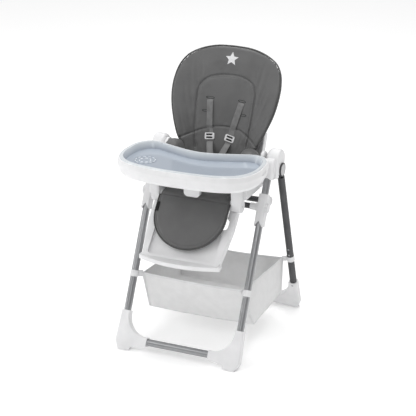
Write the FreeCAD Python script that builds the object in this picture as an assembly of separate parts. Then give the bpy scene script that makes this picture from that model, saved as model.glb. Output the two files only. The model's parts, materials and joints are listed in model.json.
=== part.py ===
"""Folding baby high chair: one STEP file for each separate piece.

Millimetres. X is to the right of someone facing the chair, the front faces -Y
and Z is up. The origin is on the floor, midway between the outermost feet.
A node that ends in _left lies at negative X, and its _right twin is its mirror.
"""
import FreeCAD, Part
import math
import os
from FreeCAD import Placement, Rotation, Vector

# ---------------------------------------------------------------- driving sizes
# Stance of the A-frame
STANCE = 627.0              # front to rear, between the leg lines on the floor
FRONT_FLOOR_Y = -313.5      # front leg axis where it meets the floor
FRONT_TRACK = 476.0         # between the front leg axes
REAR_OUTSET = 24.0          # rear leg axis outside the front leg's
FRONT_LEAN = 26.84          # front legs, degrees back from upright
PIVOT_Y = 91.5              # fold pivot of the rear legs
PIVOT_Z = 678.0
TUBE = 28.0                 # frame tube
TUBE_WALL = 1.5
FRONT_LEG_TOP = 716.0       # height of the front leg's upper end

# Feet
BAR_Z = 35.0                # height of the two cross bars
FOOT_INNER = 130.0          # where a foot lets go of its cross bar
FRONT_FOOT_TOP = 133.0
REAR_FOOT_TOP = 130.0
FOOT_WALL = 2.6
PAD_T = 3.0                 # rubber pad under each foot

# Fold hinges
HOUSING_INNER = FRONT_TRACK / 2 - 24.0   # inner face of the hinge housing
HOUSING_SPLIT = FRONT_TRACK / 2 + 6.0    # joint between its two shells
HOUSING_OUTER = FRONT_TRACK / 2 + 30.0   # outer face
HOUSING_TOP = 80.0          # arch above the pivot
HOUSING_WALL = 3.0
PIVOT_PIN = 8.0
FOLD_BUTTON = 45.0          # round button over the pivot
BEZEL_H = 6.0

# Height carriage
CARRIER_Z = 560.0           # height of the front carrier tube, on the leg axis
CARRIER = 22.0              # carrier tube
CARRIER_PITCH = 73.5        # front carrier to rear carrier
SLIDER_W = 36.0
SLIDER_D = 40.0
SLIDER_UP = 51.5            # sleeve above and below the carrier, along the leg
SLIDER_DOWN = 74.0
SLIDER_NOTCH = 22.0
SLIDER_BUTTON = 30.0

# Seat
SEAT_INNER = 300.0          # between the arm columns
COLUMN_W = 40.0
SEAT_OUTER = 404.0          # over the side walls
WALL = 5.0
SEAT_FRONT = -136.0
SEAT_REAR = 98.0
FLOOR_Z = 576.0
FLOOR_T = 4.0
ARM_TOP = 700.0
ARMREST_TOP = 752.0
SEAT_PAD_T = 38.0
FOOT_PIVOT_Y = -104.5
FOOT_PIVOT_Z = 582.0
EAR_R = 26.0
EAR_PIN = 8.0

# Backrest
RECLINE_Y = 110.0           # recline pivot
RECLINE_Z = 640.0
RECLINE_PIN = 10.0
BACK_LEAN = 18.26           # degrees back from upright
BACK_LINE_Y = 135.8         # rear face of the back pad at the recline pivot's height
BACK_PAD_T = 35.0
BACK_SHELL_T = 4.0
BACK_LOW = -15.0            # lower edge, along the back
BACK_HIGH = 481.0
BACK_HALF = 220.0           # widest half-width
CUP_LOW = 380.0             # cupping radius at the lower and upper edge
CUP_HIGH = 760.0

# Footrest
REST_LEAN = 43.5
REST_LENGTH = 252.0
REST_HALF = 176.0
REST_DEPTH = 26.0
CALF_HALF = 146.0
CALF_LENGTH = 213.0
CALF_T = 22.0
STEP_DEPTH = 42.0
STEP_T = 16.0
STEP_BOW = 42.0

# Tray
TRAY_Z = 705.0
TRAY_H = 60.0
TRAY_HALF = 284.0
TRAY_FRONT = -326.0
TRAY_REAR = -20.0
TRAY_WALL = 4.0
TRAY_RIM = 15.0             # width of the rim around the dish
INSERT_T = 2.6
POST_W = 65.0               # crotch post
POST_LOW = 614.0

# Soft goods
WEBBING = 25.0
WEBBING_T = 1.8
BASKET_TOP_FRONT = 263.0
BASKET_TOP_REAR = 248.0
BASKET_LOW = 95.0
BASKET_HALF = 210.0
BASKET_FRONT = -161.5
BASKET_REAR = 228.5
BASKET_SIDE_TAPER = 3.0
BASKET_FRONT_TAPER = 50.0
BASKET_REAR_TAPER = 15.0
BASKET_T = 2.5

# Clearances
RUN = 0.08                  # radial, a pin that turns in its bore
SLIP = 0.5                  # between pieces that move past each other

X_AXIS = Vector(1, 0, 0)
FRONT_X = FRONT_TRACK / 2
REAR_X = FRONT_X + REAR_OUTSET
REAR_FLOOR_Y = FRONT_FLOOR_Y + STANCE
REAR_LEAN = -math.degrees(math.atan((REAR_FLOOR_Y - PIVOT_Y) / PIVOT_Z))
KNUCKLE_R = 24.0
KNUCKLE_REACH = 36.0        # from the pivot to the end of the rear tube
OPEN_R = KNUCKLE_REACH - 2.0


# ------------------------------------------------------------------- small tools
def leaning(lean, y, z):
    """Frame with x along X, y up a line leaning back by lean, and z out of its front."""
    return Placement(Vector(0, y, z), Rotation(X_AXIS, 90 - lean))


def put(shape, place):
    moved = shape.copy()
    moved.Placement = place.multiply(moved.Placement)
    return moved


def box(x0, x1, y0, y1, z0, z1):
    return Part.makeBox(x1 - x0, y1 - y0, z1 - z0, Vector(x0, y0, z0))


def rod(start, end, diameter):
    along = end - start
    return Part.makeCylinder(diameter / 2, along.Length, start, along)


def pipe(start, end, diameter, wall):
    return rod(start, end, diameter).cut(rod(start, end, diameter - 2 * wall))


def rod_x(x0, x1, y, z, diameter):
    return rod(Vector(x0, y, z), Vector(x1, y, z), diameter)


def twin(shape):
    """The mirror copy on the other side."""
    return shape.mirror(Vector(0, 0, 0), X_AXIS)


def both(shape):
    return Part.makeCompound([shape, twin(shape)])


def fuse(first, *others):
    return first.multiFuse(list(others)).removeSplitter()


def outline(points, closed_by_line=False):
    """Smooth closed face through (x, y) points, or an open curve shut by a line."""
    curve = Part.BSplineCurve()
    corners = [Vector(x, y, 0) for x, y in points]
    curve.interpolate(Points=corners, PeriodicFlag=not closed_by_line)
    edges = [curve.toShape()]
    if closed_by_line:
        edges.append(Part.makeLine(corners[-1], corners[0]))
    return Part.Face(Part.Wire(edges))


def polygon(points):
    corners = [Vector(x, y, 0) for x, y in points]
    return Part.Face(Part.makePolygon(corners + corners[:1]))


def slab(face, z0, z1):
    """Extrudes a face drawn in the XY plane from z0 to z1."""
    return put(face, Placement(Vector(0, 0, z0), Rotation())).extrude(Vector(0, 0, z1 - z0))


def across(face, x0, x1):
    """Stands a face drawn as (y, z) upright and extrudes it along X."""
    turn = Placement(Vector(x0, 0, 0), Rotation(Vector(0, 1, 0), Vector(0, 0, 1), X_AXIS, "ZXY"))
    return put(face, turn).extrude(Vector(x1 - x0, 0, 0))


def rounded_hull(circles):
    """Face around circles (y, z, r) given in anticlockwise order, joined by tangents."""
    count = len(circles)
    normals = []
    for i in range(count):
        y0, z0, r0 = circles[i]
        y1, z1, r1 = circles[(i + 1) % count]
        span = math.hypot(y1 - y0, z1 - z0)
        heading = math.atan2(z1 - z0, y1 - y0)
        normals.append(heading - math.acos((r0 - r1) / span))
    edges = []
    for i in range(count):
        y0, z0, r0 = circles[i]
        begin, finish = normals[i - 1], normals[i]
        while finish < begin:
            finish += 2 * math.pi
        stops = [Vector(y0 + r0 * math.cos(a), z0 + r0 * math.sin(a), 0)
                 for a in (begin, (begin + finish) / 2, finish)]
        edges.append(Part.Arc(*stops).toShape())
        y1, z1, r1 = circles[(i + 1) % count]
        landing = Vector(y1 + r1 * math.cos(finish), z1 + r1 * math.sin(finish), 0)
        edges.append(Part.makeLine(stops[2], landing))
    return Part.Face(Part.Wire(edges))


def edges_at(shape, test):
    return [e for e in shape.Edges if test(e.BoundBox)]


def on_front_leg(z):
    return Vector(FRONT_X, FRONT_FLOOR_Y + z * math.tan(math.radians(FRONT_LEAN)), z)


def on_rear_leg(z):
    return Vector(REAR_X, REAR_FLOOR_Y + z * math.tan(math.radians(REAR_LEAN)), z)


nodes = {}


def keep(name, shape):
    nodes[name] = shape


def keep_pair(name, shape):
    keep(name + "_right", shape)
    keep(name + "_left", twin(shape))


# ------------------------------------------------------------------- front frame
def foot(lean, floor_y, leg_x, top_z, leg_low, flare):
    """Moulded corner that holds a leg and the cross bar, in the leg's leaning plane."""
    stretch = 1 / math.cos(math.radians(lean))
    half_t = TUBE / 2 + FOOT_WALL
    side = TUBE / 2 + FOOT_WALL + 1.5
    bar_s = BAR_Z * stretch
    top_s = top_z * stretch
    inner_top = Vector(leg_x - side, top_s, 0)
    inner_mid = Vector(leg_x - side - 20, bar_s + 44, 0)
    inner_end = Vector(FOOT_INNER, bar_s + side, 0)
    bump = leg_x - side - 20
    sole = -half_t * math.tan(math.radians(abs(lean))) - 2
    edges = [
        Part.Arc(inner_top, inner_mid, inner_end).toShape(),
        Part.makeLine(inner_end, Vector(FOOT_INNER, bar_s - side, 0)),
        Part.makeLine(Vector(FOOT_INNER, bar_s - side, 0), Vector(bump - 6, 9, 0)),
        Part.makeLine(Vector(bump - 6, 9, 0), Vector(bump, sole, 0)),
        Part.makeLine(Vector(bump, sole, 0), Vector(leg_x + side - 12, sole, 0)),
        Part.makeLine(Vector(leg_x + side - 12, sole, 0), Vector(leg_x + side + flare, 26, 0)),
        Part.makeLine(Vector(leg_x + side + flare, 26, 0), Vector(leg_x + side, top_s, 0)),
        Part.makeLine(Vector(leg_x + side, top_s, 0), inner_top),
    ]
    body = slab(Part.Face(Part.Wire(edges)), -half_t, half_t)
    long_edges = edges_at(body, lambda b: b.ZLength < 0.01 and b.YLength > 30 and b.XMax > FOOT_INNER + 1)
    body = body.makeFillet(min(FOOT_WALL + 3.4, 6.0), long_edges)
    body = put(body, leaning(lean, floor_y, 0))
    body = body.cut(box(0, 400, -500, 500, -100, PAD_T))
    direction = Vector(0, math.sin(math.radians(lean)), math.cos(math.radians(lean)))
    leg_end = Vector(leg_x, floor_y, 0) + direction * (leg_low * stretch)
    body = body.cut(rod(leg_end, leg_end + direction * 400, TUBE))
    bar_y = floor_y + BAR_Z * math.tan(math.radians(lean))
    return body.cut(rod_x(0, leg_x - TUBE / 2 - 1, bar_y, BAR_Z, TUBE))


def foot_pads(leg_x, floor_y):
    """Two pads under each foot: one below the leg, one inboard of it."""
    pads = []
    for x in (leg_x - 27, leg_x + 1):
        pad = box(x - 9, x + 9, floor_y - 10, floor_y + 10, 0, PAD_T)
        pad = pad.makeFillet(4.0, edges_at(pad, lambda b: b.ZLength > PAD_T - 0.1))
        pads += [pad, twin(pad)]
    return Part.makeCompound(pads)


def cross_bar(y, end_x):
    return pipe(Vector(-end_x, y, BAR_Z), Vector(end_x, y, BAR_Z), TUBE, TUBE_WALL)


LEG_LOW = 22.0              # height of a leg's lower end inside its foot
front_foot = foot(FRONT_LEAN, FRONT_FLOOR_Y, FRONT_X, FRONT_FOOT_TOP, LEG_LOW, 6.0)
keep_pair("front_foot", front_foot)
keep("front_foot_pads", foot_pads(FRONT_X, FRONT_FLOOR_Y))
front_leg = pipe(on_front_leg(LEG_LOW), on_front_leg(FRONT_LEG_TOP), TUBE, TUBE_WALL)
keep_pair("front_leg", front_leg)
keep("front_crossbar", cross_bar(on_front_leg(BAR_Z).y, FRONT_X - TUBE / 2 - 1))

# -------------------------------------------------------------------- rear frame
rear_foot = foot(REAR_LEAN, REAR_FLOOR_Y, REAR_X, REAR_FOOT_TOP, LEG_LOW, 2.0)
keep("rear_foot_pads", foot_pads(REAR_X, REAR_FLOOR_Y))
keep("rear_crossbar", cross_bar(on_rear_leg(BAR_Z).y, REAR_X - TUBE / 2 - 1))

rear_down = Vector(0, -math.sin(math.radians(REAR_LEAN)), -math.cos(math.radians(REAR_LEAN)))
pivot = Vector(REAR_X, PIVOT_Y, PIVOT_Z)
tube_top = pivot + rear_down * KNUCKLE_REACH
rear_leg = pipe(on_rear_leg(LEG_LOW), tube_top, TUBE, TUBE_WALL)


def knuckle():
    """Plastic hub that turns on the fold pin and plugs into the rear tube."""
    x0 = HOUSING_SPLIT + SLIP + 2
    x1 = HOUSING_OUTER - HOUSING_WALL - SLIP
    hub = rod_x(x0, x1, PIVOT_Y, PIVOT_Z, 2 * KNUCKLE_R)
    neck = rod(pivot, tube_top, TUBE).common(box(x0, x1, -500, 500, 0, 900))
    collar = rod(pivot + rear_down * (KNUCKLE_REACH - 1.5), tube_top, TUBE)
    spigot = rod(tube_top - rear_down, tube_top + rear_down * 40, TUBE - 2 * TUBE_WALL)
    body = fuse(hub, neck, collar, spigot)
    return body.cut(rod_x(x0 - 1, x1 + 1, PIVOT_Y, PIVOT_Z, PIVOT_PIN + 2 * RUN))


keep_pair("rear_leg_knuckle", knuckle())


# ------------------------------------------------------------------ fold hinges
def swing_sector(x0, x1, near, far):
    """Part of the swing between two distances from the pivot."""
    margin = math.degrees(math.asin((TUBE / 2 + 2) / near))
    outer = rod_x(x0, x1, PIVOT_Y, PIVOT_Z, 2 * far)
    inner = rod_x(x0 - 1, x1 + 1, PIVOT_Y, PIVOT_Z, 2 * near)
    low = math.radians(-90 - FRONT_LEAN - margin)
    high = math.radians(-90 - REAR_LEAN + margin)
    middle = (low + high) / 2
    fan = [(PIVOT_Y, PIVOT_Z)]
    for angle in (low, middle, high):
        fan.append((PIVOT_Y + 3 * far * math.cos(angle), PIVOT_Z + 3 * far * math.sin(angle)))
    return outer.cut(inner).common(across(polygon(fan), x0, x1))


def swing_room(x0, x1):
    """Space that the knuckle's neck and the rear tube sweep below the pivot as they fold."""
    return fuse(swing_sector(x0, x1, KNUCKLE_R + SLIP, OPEN_R + 1), swing_sector(x0, x1, OPEN_R, 140.0))


ARCH_R = 41.0
arch_centre_z = PIVOT_Z + HOUSING_TOP - ARCH_R
ARCH = [(PIVOT_Y - 17, PIVOT_Z - 13, 25), (PIVOT_Y, PIVOT_Z, 31), (PIVOT_Y + 1, arch_centre_z, ARCH_R)]


def thinner(circles):
    return [(y, z, r - HOUSING_WALL) for y, z, r in circles]


def leg_socket():
    """Rounded block that closes over the front leg's upper end."""
    low = on_front_leg(673)
    high = on_front_leg(FRONT_LEG_TOP - 4)
    block = across(rounded_hull([(low.y, low.z, 19.5), (high.y + 2, high.z, 21)]), FRONT_X - 19, FRONT_X + 19)
    return block.makeFillet(6.0, edges_at(block, lambda b: b.XLength < 0.01))


def housing_inner():
    """Inner shell: half of the arch, with the front leg's socket."""
    arch = across(rounded_hull(ARCH), HOUSING_INNER, HOUSING_SPLIT)
    arch = arch.makeFillet(18.0, edges_at(arch, lambda b: b.XLength < 0.01 and b.XMax < HOUSING_INNER + 1))
    cavity = across(rounded_hull(thinner(ARCH)), HOUSING_INNER + HOUSING_WALL, HOUSING_SPLIT - HOUSING_WALL)
    cavity = cavity.makeFillet(15.0, edges_at(cavity, lambda b: b.XLength < 0.01 and b.XMax < HOUSING_SPLIT - 9))
    boss = rod_x(HOUSING_INNER + 1, HOUSING_SPLIT - 1, PIVOT_Y, PIVOT_Z, PIVOT_PIN + 8)
    body = fuse(arch.cut(cavity), leg_socket(), boss)
    body = body.cut(rod(on_front_leg(580), on_front_leg(FRONT_LEG_TOP), TUBE))
    return body.cut(rod_x(HOUSING_INNER + 1, 300, PIVOT_Y, PIVOT_Z, PIVOT_PIN))


def housing_outer():
    """Outer shell: the other half of the arch, a cap over the rear leg's knuckle."""
    solid = across(rounded_hull(ARCH), HOUSING_SPLIT, HOUSING_OUTER)
    solid = solid.makeFillet(9.0, edges_at(solid, lambda b: b.XLength < 0.01 and b.XMin > HOUSING_OUTER - 1))
    cavity = across(rounded_hull(thinner(ARCH)), HOUSING_SPLIT - 1, HOUSING_OUTER - HOUSING_WALL)
    cavity = cavity.makeFillet(5.0, edges_at(cavity, lambda b: b.XLength < 0.01 and b.XMin > HOUSING_SPLIT))
    body = solid.cut(cavity).cut(leg_socket())
    body = body.cut(rod_x(HOUSING_SPLIT, 300, PIVOT_Y, PIVOT_Z, PIVOT_PIN))
    return body.cut(swing_room(HOUSING_SPLIT - 1, HOUSING_OUTER + 1))


BEZEL_W = 4.0
BUTTON_T = 3.2
button_x = HOUSING_OUTER + BEZEL_H + 1.0 - BUTTON_T
keep_pair("hinge_housing_inner", housing_inner())
keep_pair("hinge_housing_outer", housing_outer())
keep("fold_pivot_pins", both(rod_x(HOUSING_INNER + 1, HOUSING_OUTER - 0.2, PIVOT_Y, PIVOT_Z, PIVOT_PIN)))
bezel = rod_x(HOUSING_OUTER, HOUSING_OUTER + BEZEL_H, PIVOT_Y, PIVOT_Z, FOLD_BUTTON + 2 * (SLIP + BEZEL_W))
bezel = bezel.cut(rod_x(HOUSING_OUTER - 1, 300, PIVOT_Y, PIVOT_Z, FOLD_BUTTON + 2 * SLIP))
keep("fold_button_bezels", both(bezel))
fold_button = rod_x(button_x, button_x + BUTTON_T, PIVOT_Y, PIVOT_Z, FOLD_BUTTON)
fold_button = fold_button.makeFillet(1.2, edges_at(fold_button, lambda b: b.XMin > button_x + 1 and b.XLength < 0.01))
keep_pair("fold_button", fold_button)


# -------------------------------------------------------------- height carriage
carrier_front = on_front_leg(CARRIER_Z)
carrier_rear_y = carrier_front.y + CARRIER_PITCH
LOBE_INNER = FRONT_X - SLIDER_W / 2 + 2
LOBE_OUTER = REAR_X - TUBE / 2 - 3
COLLAR_REACH = 30.0
KNOB_H = 5.0


def slider():
    """Sleeve on the front leg, with a notched skirt and sockets for both carriers."""
    sleeve = box(-SLIDER_W / 2, SLIDER_W / 2, -SLIDER_DOWN, SLIDER_UP, -SLIDER_D / 2, SLIDER_D / 2)
    corners = edges_at(sleeve, lambda b: b.YLength > SLIDER_UP)
    sleeve = sleeve.makeFillet(9.0, corners)
    apex = -SLIDER_DOWN + SLIDER_NOTCH
    half = SLIDER_W / 2 - 3
    notch = polygon([(0, apex), (half, -SLIDER_DOWN - 1), (-half, -SLIDER_DOWN - 1)])
    sleeve = sleeve.cut(slab(notch, -SLIDER_D, SLIDER_D))
    shift = Placement(Vector(FRONT_X, 0, 0), Rotation())
    sleeve = put(put(sleeve, shift), leaning(FRONT_LEAN, carrier_front.y, carrier_front.z))
    lobe_face = rounded_hull([(carrier_front.y, CARRIER_Z, 19), (carrier_rear_y, CARRIER_Z, 17)])
    lobe = across(lobe_face, LOBE_INNER, LOBE_OUTER)
    lobe = lobe.makeFillet(3.0, edges_at(lobe, lambda b: b.XLength < 0.01 and b.XMin > LOBE_OUTER - 1))
    inner_x = FRONT_X - SLIDER_W / 2
    collar = rod_x(inner_x - COLLAR_REACH, inner_x + 3, carrier_front.y, CARRIER_Z, CARRIER + 5)
    flange = rod_x(inner_x - 8, inner_x + 3, carrier_front.y, CARRIER_Z, CARRIER + 10)
    ring_x = FRONT_X + SLIDER_W / 2
    ring = rod_x(ring_x - 3, ring_x + KNOB_H, carrier_front.y, CARRIER_Z, SLIDER_BUTTON + 8)
    body = fuse(sleeve, lobe, collar, flange, ring)
    body = body.cut(rod(on_front_leg(400), on_front_leg(700), TUBE + 2 * 0.4))
    body = body.cut(rod_x(0, inner_x - 1, carrier_front.y, CARRIER_Z, CARRIER))
    body = body.cut(rod_x(0, LOBE_OUTER - 4, carrier_rear_y, CARRIER_Z, CARRIER))
    seat = ring_x + KNOB_H - 4.8
    return body.cut(rod_x(seat, 400, carrier_front.y, CARRIER_Z, SLIDER_BUTTON + 2 * SLIP))


keep_pair("slider", slider())
knob_x = FRONT_X + SLIDER_W / 2 + KNOB_H + 1.5
knob = rod_x(knob_x - 3.2, knob_x, carrier_front.y, CARRIER_Z, SLIDER_BUTTON)
knob = knob.makeFillet(1.2, edges_at(knob, lambda b: b.XMin > knob_x - 0.1))
keep_pair("slider_button", knob)


def carrier(y, end_x):
    return pipe(Vector(-end_x, y, CARRIER_Z), Vector(end_x, y, CARRIER_Z), CARRIER, TUBE_WALL)


keep("carrier_tube_front", carrier(carrier_front.y, FRONT_X - SLIDER_W / 2 - 1))
keep("carrier_tube_rear", carrier(carrier_rear_y, LOBE_OUTER - 4))


# -------------------------------------------------------------------------- seat
column_x = SEAT_INNER / 2
side_x = SEAT_OUTER / 2
rail_outer = column_x + COLUMN_W + 10
SHELF_Z = 616.0             # shelf that carries the padded cheeks
CHEEK_FRONT = -20.0
CHEEK_REAR = 68.0
SADDLE_X = 95.0
SADDLE_W = 30.0
LUG_R = 20.0
LOBE_W = 6.0


def seat_side():
    """Right arm: front column with its ear, top rail, side wall, armrest and lug."""
    column = box(column_x, column_x + COLUMN_W, SEAT_FRONT, SEAT_FRONT + 40, FOOT_PIVOT_Z + 12, ARM_TOP)
    column = column.makeFillet(8.0, edges_at(column, lambda b: b.ZLength > 50))
    ear_face = rounded_hull([(FOOT_PIVOT_Y, FOOT_PIVOT_Z, EAR_R),
                             (SEAT_FRONT + 20, FOOT_PIVOT_Z + 60, 19)])
    ear = across(ear_face, column_x, column_x + COLUMN_W - 4)
    ear = ear.makeFillet(4.0, edges_at(ear, lambda b: b.XLength < 0.01 and b.XMin > column_x + 1))
    rail = box(column_x + 8, rail_outer, SEAT_FRONT, CHEEK_FRONT - SLIP, ARM_TOP - 20, ARM_TOP)
    rail = rail.makeFillet(3.0, edges_at(rail, lambda b: b.YLength > 100 and b.ZMax > ARM_TOP - 1))
    inner = box(column_x, column_x + FLOOR_T, SEAT_FRONT + 30, SEAT_REAR, FLOOR_Z, SHELF_Z)
    shelf = box(column_x, side_x, SEAT_FRONT + 30, SEAT_REAR + 35, SHELF_Z - FLOOR_T, SHELF_Z)
    wall = box(side_x - WALL, side_x, SEAT_FRONT + 30, SEAT_REAR + 35, SHELF_Z - FLOOR_T, ARM_TOP - 35)
    upper = box(side_x - WALL, side_x, SEAT_FRONT + 30, SEAT_REAR, ARM_TOP - 36, ARM_TOP)
    web = box(column_x + 8, side_x, SEAT_FRONT + 30, SEAT_FRONT + 38, FOOT_PIVOT_Z + 30, ARM_TOP - 10)
    lobe_r = 27.0
    lobe_face = rounded_hull([(SEAT_REAR - lobe_r, ARM_TOP - 60, lobe_r),
                              (SEAT_REAR - lobe_r, ARMREST_TOP - lobe_r, lobe_r)])
    lobe = across(lobe_face, side_x - WALL, side_x + LOBE_W)
    lobe = lobe.makeFillet(5.0, edges_at(lobe, lambda b: b.XLength < 0.01 and b.XMin > side_x + LOBE_W - 1))
    lug = rod_x(side_x - WALL - 6, side_x, RECLINE_Y, RECLINE_Z, 2 * LUG_R)
    body = fuse(column, ear, rail, inner, shelf, wall, upper, web, lobe, lug)
    body = body.cut(rod_x(side_x - 30, side_x + 1, RECLINE_Y, RECLINE_Z, RECLINE_PIN))
    return body.cut(rod_x(column_x - 1, column_x + COLUMN_W, FOOT_PIVOT_Y, FOOT_PIVOT_Z, EAR_PIN))


def seat_shell():
    """One moulding: the floor, both arms and the saddles for the carriers."""
    side = seat_side()
    ear_clear = FOOT_PIVOT_Y + EAR_R + 2
    floor_x = column_x + FLOOR_T
    floor = box(-floor_x, floor_x, ear_clear, SEAT_REAR, FLOOR_Z, FLOOR_Z + FLOOR_T)
    nose_x = column_x - 12
    nose = box(-nose_x, nose_x, SEAT_FRONT + 14, ear_clear + 1, FLOOR_Z, FLOOR_Z + FLOOR_T)
    body = fuse(floor, nose, side, twin(side))
    saddles = []
    for x in (SADDLE_X, -SADDLE_X - SADDLE_W):
        saddle = box(x, x + SADDLE_W, carrier_front.y - 20, carrier_rear_y + 20,
                     CARRIER_Z - CARRIER / 2 - 4, FLOOR_Z + 0.5)
        saddles.append(saddle)
    body = fuse(body, *saddles)
    for y in (carrier_front.y, carrier_rear_y):
        body = body.cut(rod_x(-400, 400, y, CARRIER_Z, CARRIER))
    return body.cut(crotch_slot)


CROTCH_Y = -5.0             # where the crotch strap comes up through the seat
crotch_slot = box(-WEBBING / 2 - 3, WEBBING / 2 + 3, CROTCH_Y - 4, CROTCH_Y + 4, 500, 700)
keep("seat_shell", seat_shell())
pad_front = SEAT_FRONT + 15
pad_half = column_x - 11
seat_pad = box(-pad_half, pad_half, pad_front, SEAT_REAR - 6, FLOOR_Z + FLOOR_T, FLOOR_Z + FLOOR_T + SEAT_PAD_T)
seat_pad = seat_pad.makeFillet(10.0, edges_at(seat_pad, lambda b: b.ZMin > FLOOR_Z + FLOOR_T + 1 and b.ZLength < 0.01))
keep("seat_pad", seat_pad.cut(crotch_slot))


def bolster():
    """Padded cheek inside the arm, rounded on top."""
    x0 = column_x + 10
    x1 = side_x - WALL - 3
    r = 30.0
    low = SHELF_Z + r
    rear = CHEEK_REAR - r
    face = rounded_hull([(CHEEK_FRONT + r, low, r), (rear, low, r), (rear, ARMREST_TOP - r, r)])
    body = across(face, x0, x1)
    return body.makeFillet(8.0, edges_at(body, lambda b: b.XLength < 0.01))


keep_pair("side_bolster", bolster())
keep("recline_pins", both(rod_x(side_x - WALL - 24, side_x + 1, RECLINE_Y, RECLINE_Z, RECLINE_PIN)))
keep("footrest_pins", both(rod_x(column_x - 9, column_x + COLUMN_W - 6, FOOT_PIVOT_Y, FOOT_PIVOT_Z, EAR_PIN)))

# ---------------------------------------------------------------------- backrest
back_place = leaning(BACK_LEAN, BACK_LINE_Y, RECLINE_Z)
SLOT_HIGH = 259.0           # harness slots, along the back
SLOT_LOW = 209.0
SLOT_HIGH_X = 67.0
SLOT_LOW_X = 77.0
RECLINE_BOSS = 34.0


def cupped(offset):
    """Space in front of a slanting cone whose rearmost line lies at the given offset."""
    ends = ((BACK_LOW - 60, CUP_LOW), (BACK_HIGH + 60, CUP_HIGH))
    rings = [Part.Wire(Part.Circle(Vector(0, s, offset + r), Vector(0, 1, 0), r).toShape()) for s, r in ends]
    return Part.makeLoft(rings, True, True)


def cupped_sheet(face, back, front):
    return cupped(back).cut(cupped(front)).common(slab(face, back - 10, 250))


w = BACK_HALF
h = BACK_HIGH
back_half = [(0, h), (0.41 * w, h - 9), (0.75 * w, h - 50), (0.968 * w, h - 111), (w, h - 181),
             (0.945 * w, h - 269), (0.818 * w, h - 353), (0.682 * w, h - 421), (0.61 * w, BACK_LOW)]
shell_side = 172.0
shell_half = [(0, h - 22), (0.40 * w, h - 32), (0.68 * w, h - 66), (0.83 * w, h - 140),
              (0.82 * w, h - 230), (shell_side, h - 320), (shell_side, h - 410), (shell_side, BACK_LOW)]


def open_points(half):
    """From the lower left end, over the top, to the lower right end."""
    return [(-x, y) for x, y in reversed(half[1:])] + half


def harness_slots():
    cuts = []
    for s, x in ((SLOT_HIGH, SLOT_HIGH_X), (SLOT_LOW, SLOT_LOW_X)):
        for sign in (1, -1):
            cut = box(-WEBBING / 2 - 3, WEBBING / 2 + 3, -3, 3, -60, 120)
            cuts.append(put(cut, Placement(Vector(sign * x, s, 0), Rotation())))
    return cuts


back_pad = cupped_sheet(outline(open_points(back_half), True), 0, BACK_PAD_T)
back_shell = cupped_sheet(outline(open_points(shell_half), True), -BACK_SHELL_T, 0)
for cut in harness_slots():
    back_pad = back_pad.cut(cut)
    back_shell = back_shell.cut(cut)
keep("backrest_pad", put(back_pad, back_place))

HANDLE_S = 372.0            # recline handle, along the back
HANDLE_W = 110.0
HANDLE_H = 34.0
HANDLE_TRAVEL = 10.0


def handle_guide():
    """Raised frame on the back of the shell in which the recline handle slides."""
    depth = 24.0
    half_w = HANDLE_W / 2 + 6
    body = box(-half_w, half_w, HANDLE_S - 24, HANDLE_S + 46, -BACK_SHELL_T - depth, -BACK_SHELL_T + 1)
    body = body.makeFillet(9.0, edges_at(body, lambda b: b.ZLength > depth - 1))
    room = box(-HANDLE_W / 2 - SLIP, HANDLE_W / 2 + SLIP, HANDLE_S - 18, HANDLE_S + HANDLE_H / 2 + HANDLE_TRAVEL + 3,
               -BACK_SHELL_T - depth - 1, -BACK_SHELL_T - 3)
    rod_way = box(-7, 7, HANDLE_S - 30, HANDLE_S, -BACK_SHELL_T - 16, -BACK_SHELL_T - 3)
    return body.cut(room).cut(rod_way)


def backrest_shell():
    body = fuse(back_shell, handle_guide())
    body = put(body, back_place)
    hub = rod_x(shell_side - 8, side_x - WALL - 6 - SLIP, RECLINE_Y, RECLINE_Z, RECLINE_BOSS)
    arm_face = rounded_hull([(RECLINE_Y, RECLINE_Z, RECLINE_BOSS / 2),
                             (RECLINE_Y + 62, RECLINE_Z + 137, 12)])
    arm = across(arm_face, shell_side - 8, shell_side)
    body = fuse(body, arm, twin(arm), hub, twin(hub))
    pin = RECLINE_PIN + 2 * RUN
    for side in (1, -1):
        body = body.cut(rod_x(side * (shell_side - 9), side * side_x, RECLINE_Y, RECLINE_Z, pin))
    return body


keep("backrest_shell", backrest_shell())


def recline_handle():
    """Grip pulled up to free the backrest, with a finger scoop."""
    low = HANDLE_S - HANDLE_H / 2
    body = box(-HANDLE_W / 2, HANDLE_W / 2, low, low + HANDLE_H, -BACK_SHELL_T - 22, -BACK_SHELL_T - 4)
    body = body.makeFillet(5.0, edges_at(body, lambda b: b.ZLength > 10))
    scoop = box(-HANDLE_W / 2 + 14, HANDLE_W / 2 - 14, low + 10, low + 24, -60, -BACK_SHELL_T - 12)
    scoop = scoop.makeFillet(6.0, edges_at(scoop, lambda b: b.ZLength > 10))
    body = body.cut(scoop)
    return body.cut(box(-4, 4, low - 1, low + 6, -BACK_SHELL_T - 13.9, -BACK_SHELL_T - 5.9))


ROD_LOW = 40.0
keep("recline_handle", put(recline_handle(), back_place))
rod_centre = -BACK_SHELL_T - 9.9
rod_body = Part.makeCylinder(4, HANDLE_S - HANDLE_H / 2 - ROD_LOW + 5,
                             Vector(0, ROD_LOW, rod_centre), Vector(0, 1, 0))
latch_bar = Part.makeCylinder(4, 2 * 70, Vector(-70, ROD_LOW, rod_centre), X_AXIS)
keep("recline_rod", put(fuse(rod_body, latch_bar), back_place))


def star(radius):
    points = []
    for i in range(10):
        r = radius if i % 2 == 0 else radius * 0.45
        a = math.radians(90 + 36 * i)
        points.append((r * math.cos(a), EMBLEM_S + r * math.sin(a)))
    return polygon(points)


EMBLEM_S = 421.0
EMBLEM_R = 28.0
keep("backrest_emblem", put(cupped_sheet(star(EMBLEM_R), BACK_PAD_T, BACK_PAD_T + 1.5), back_place))


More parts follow.
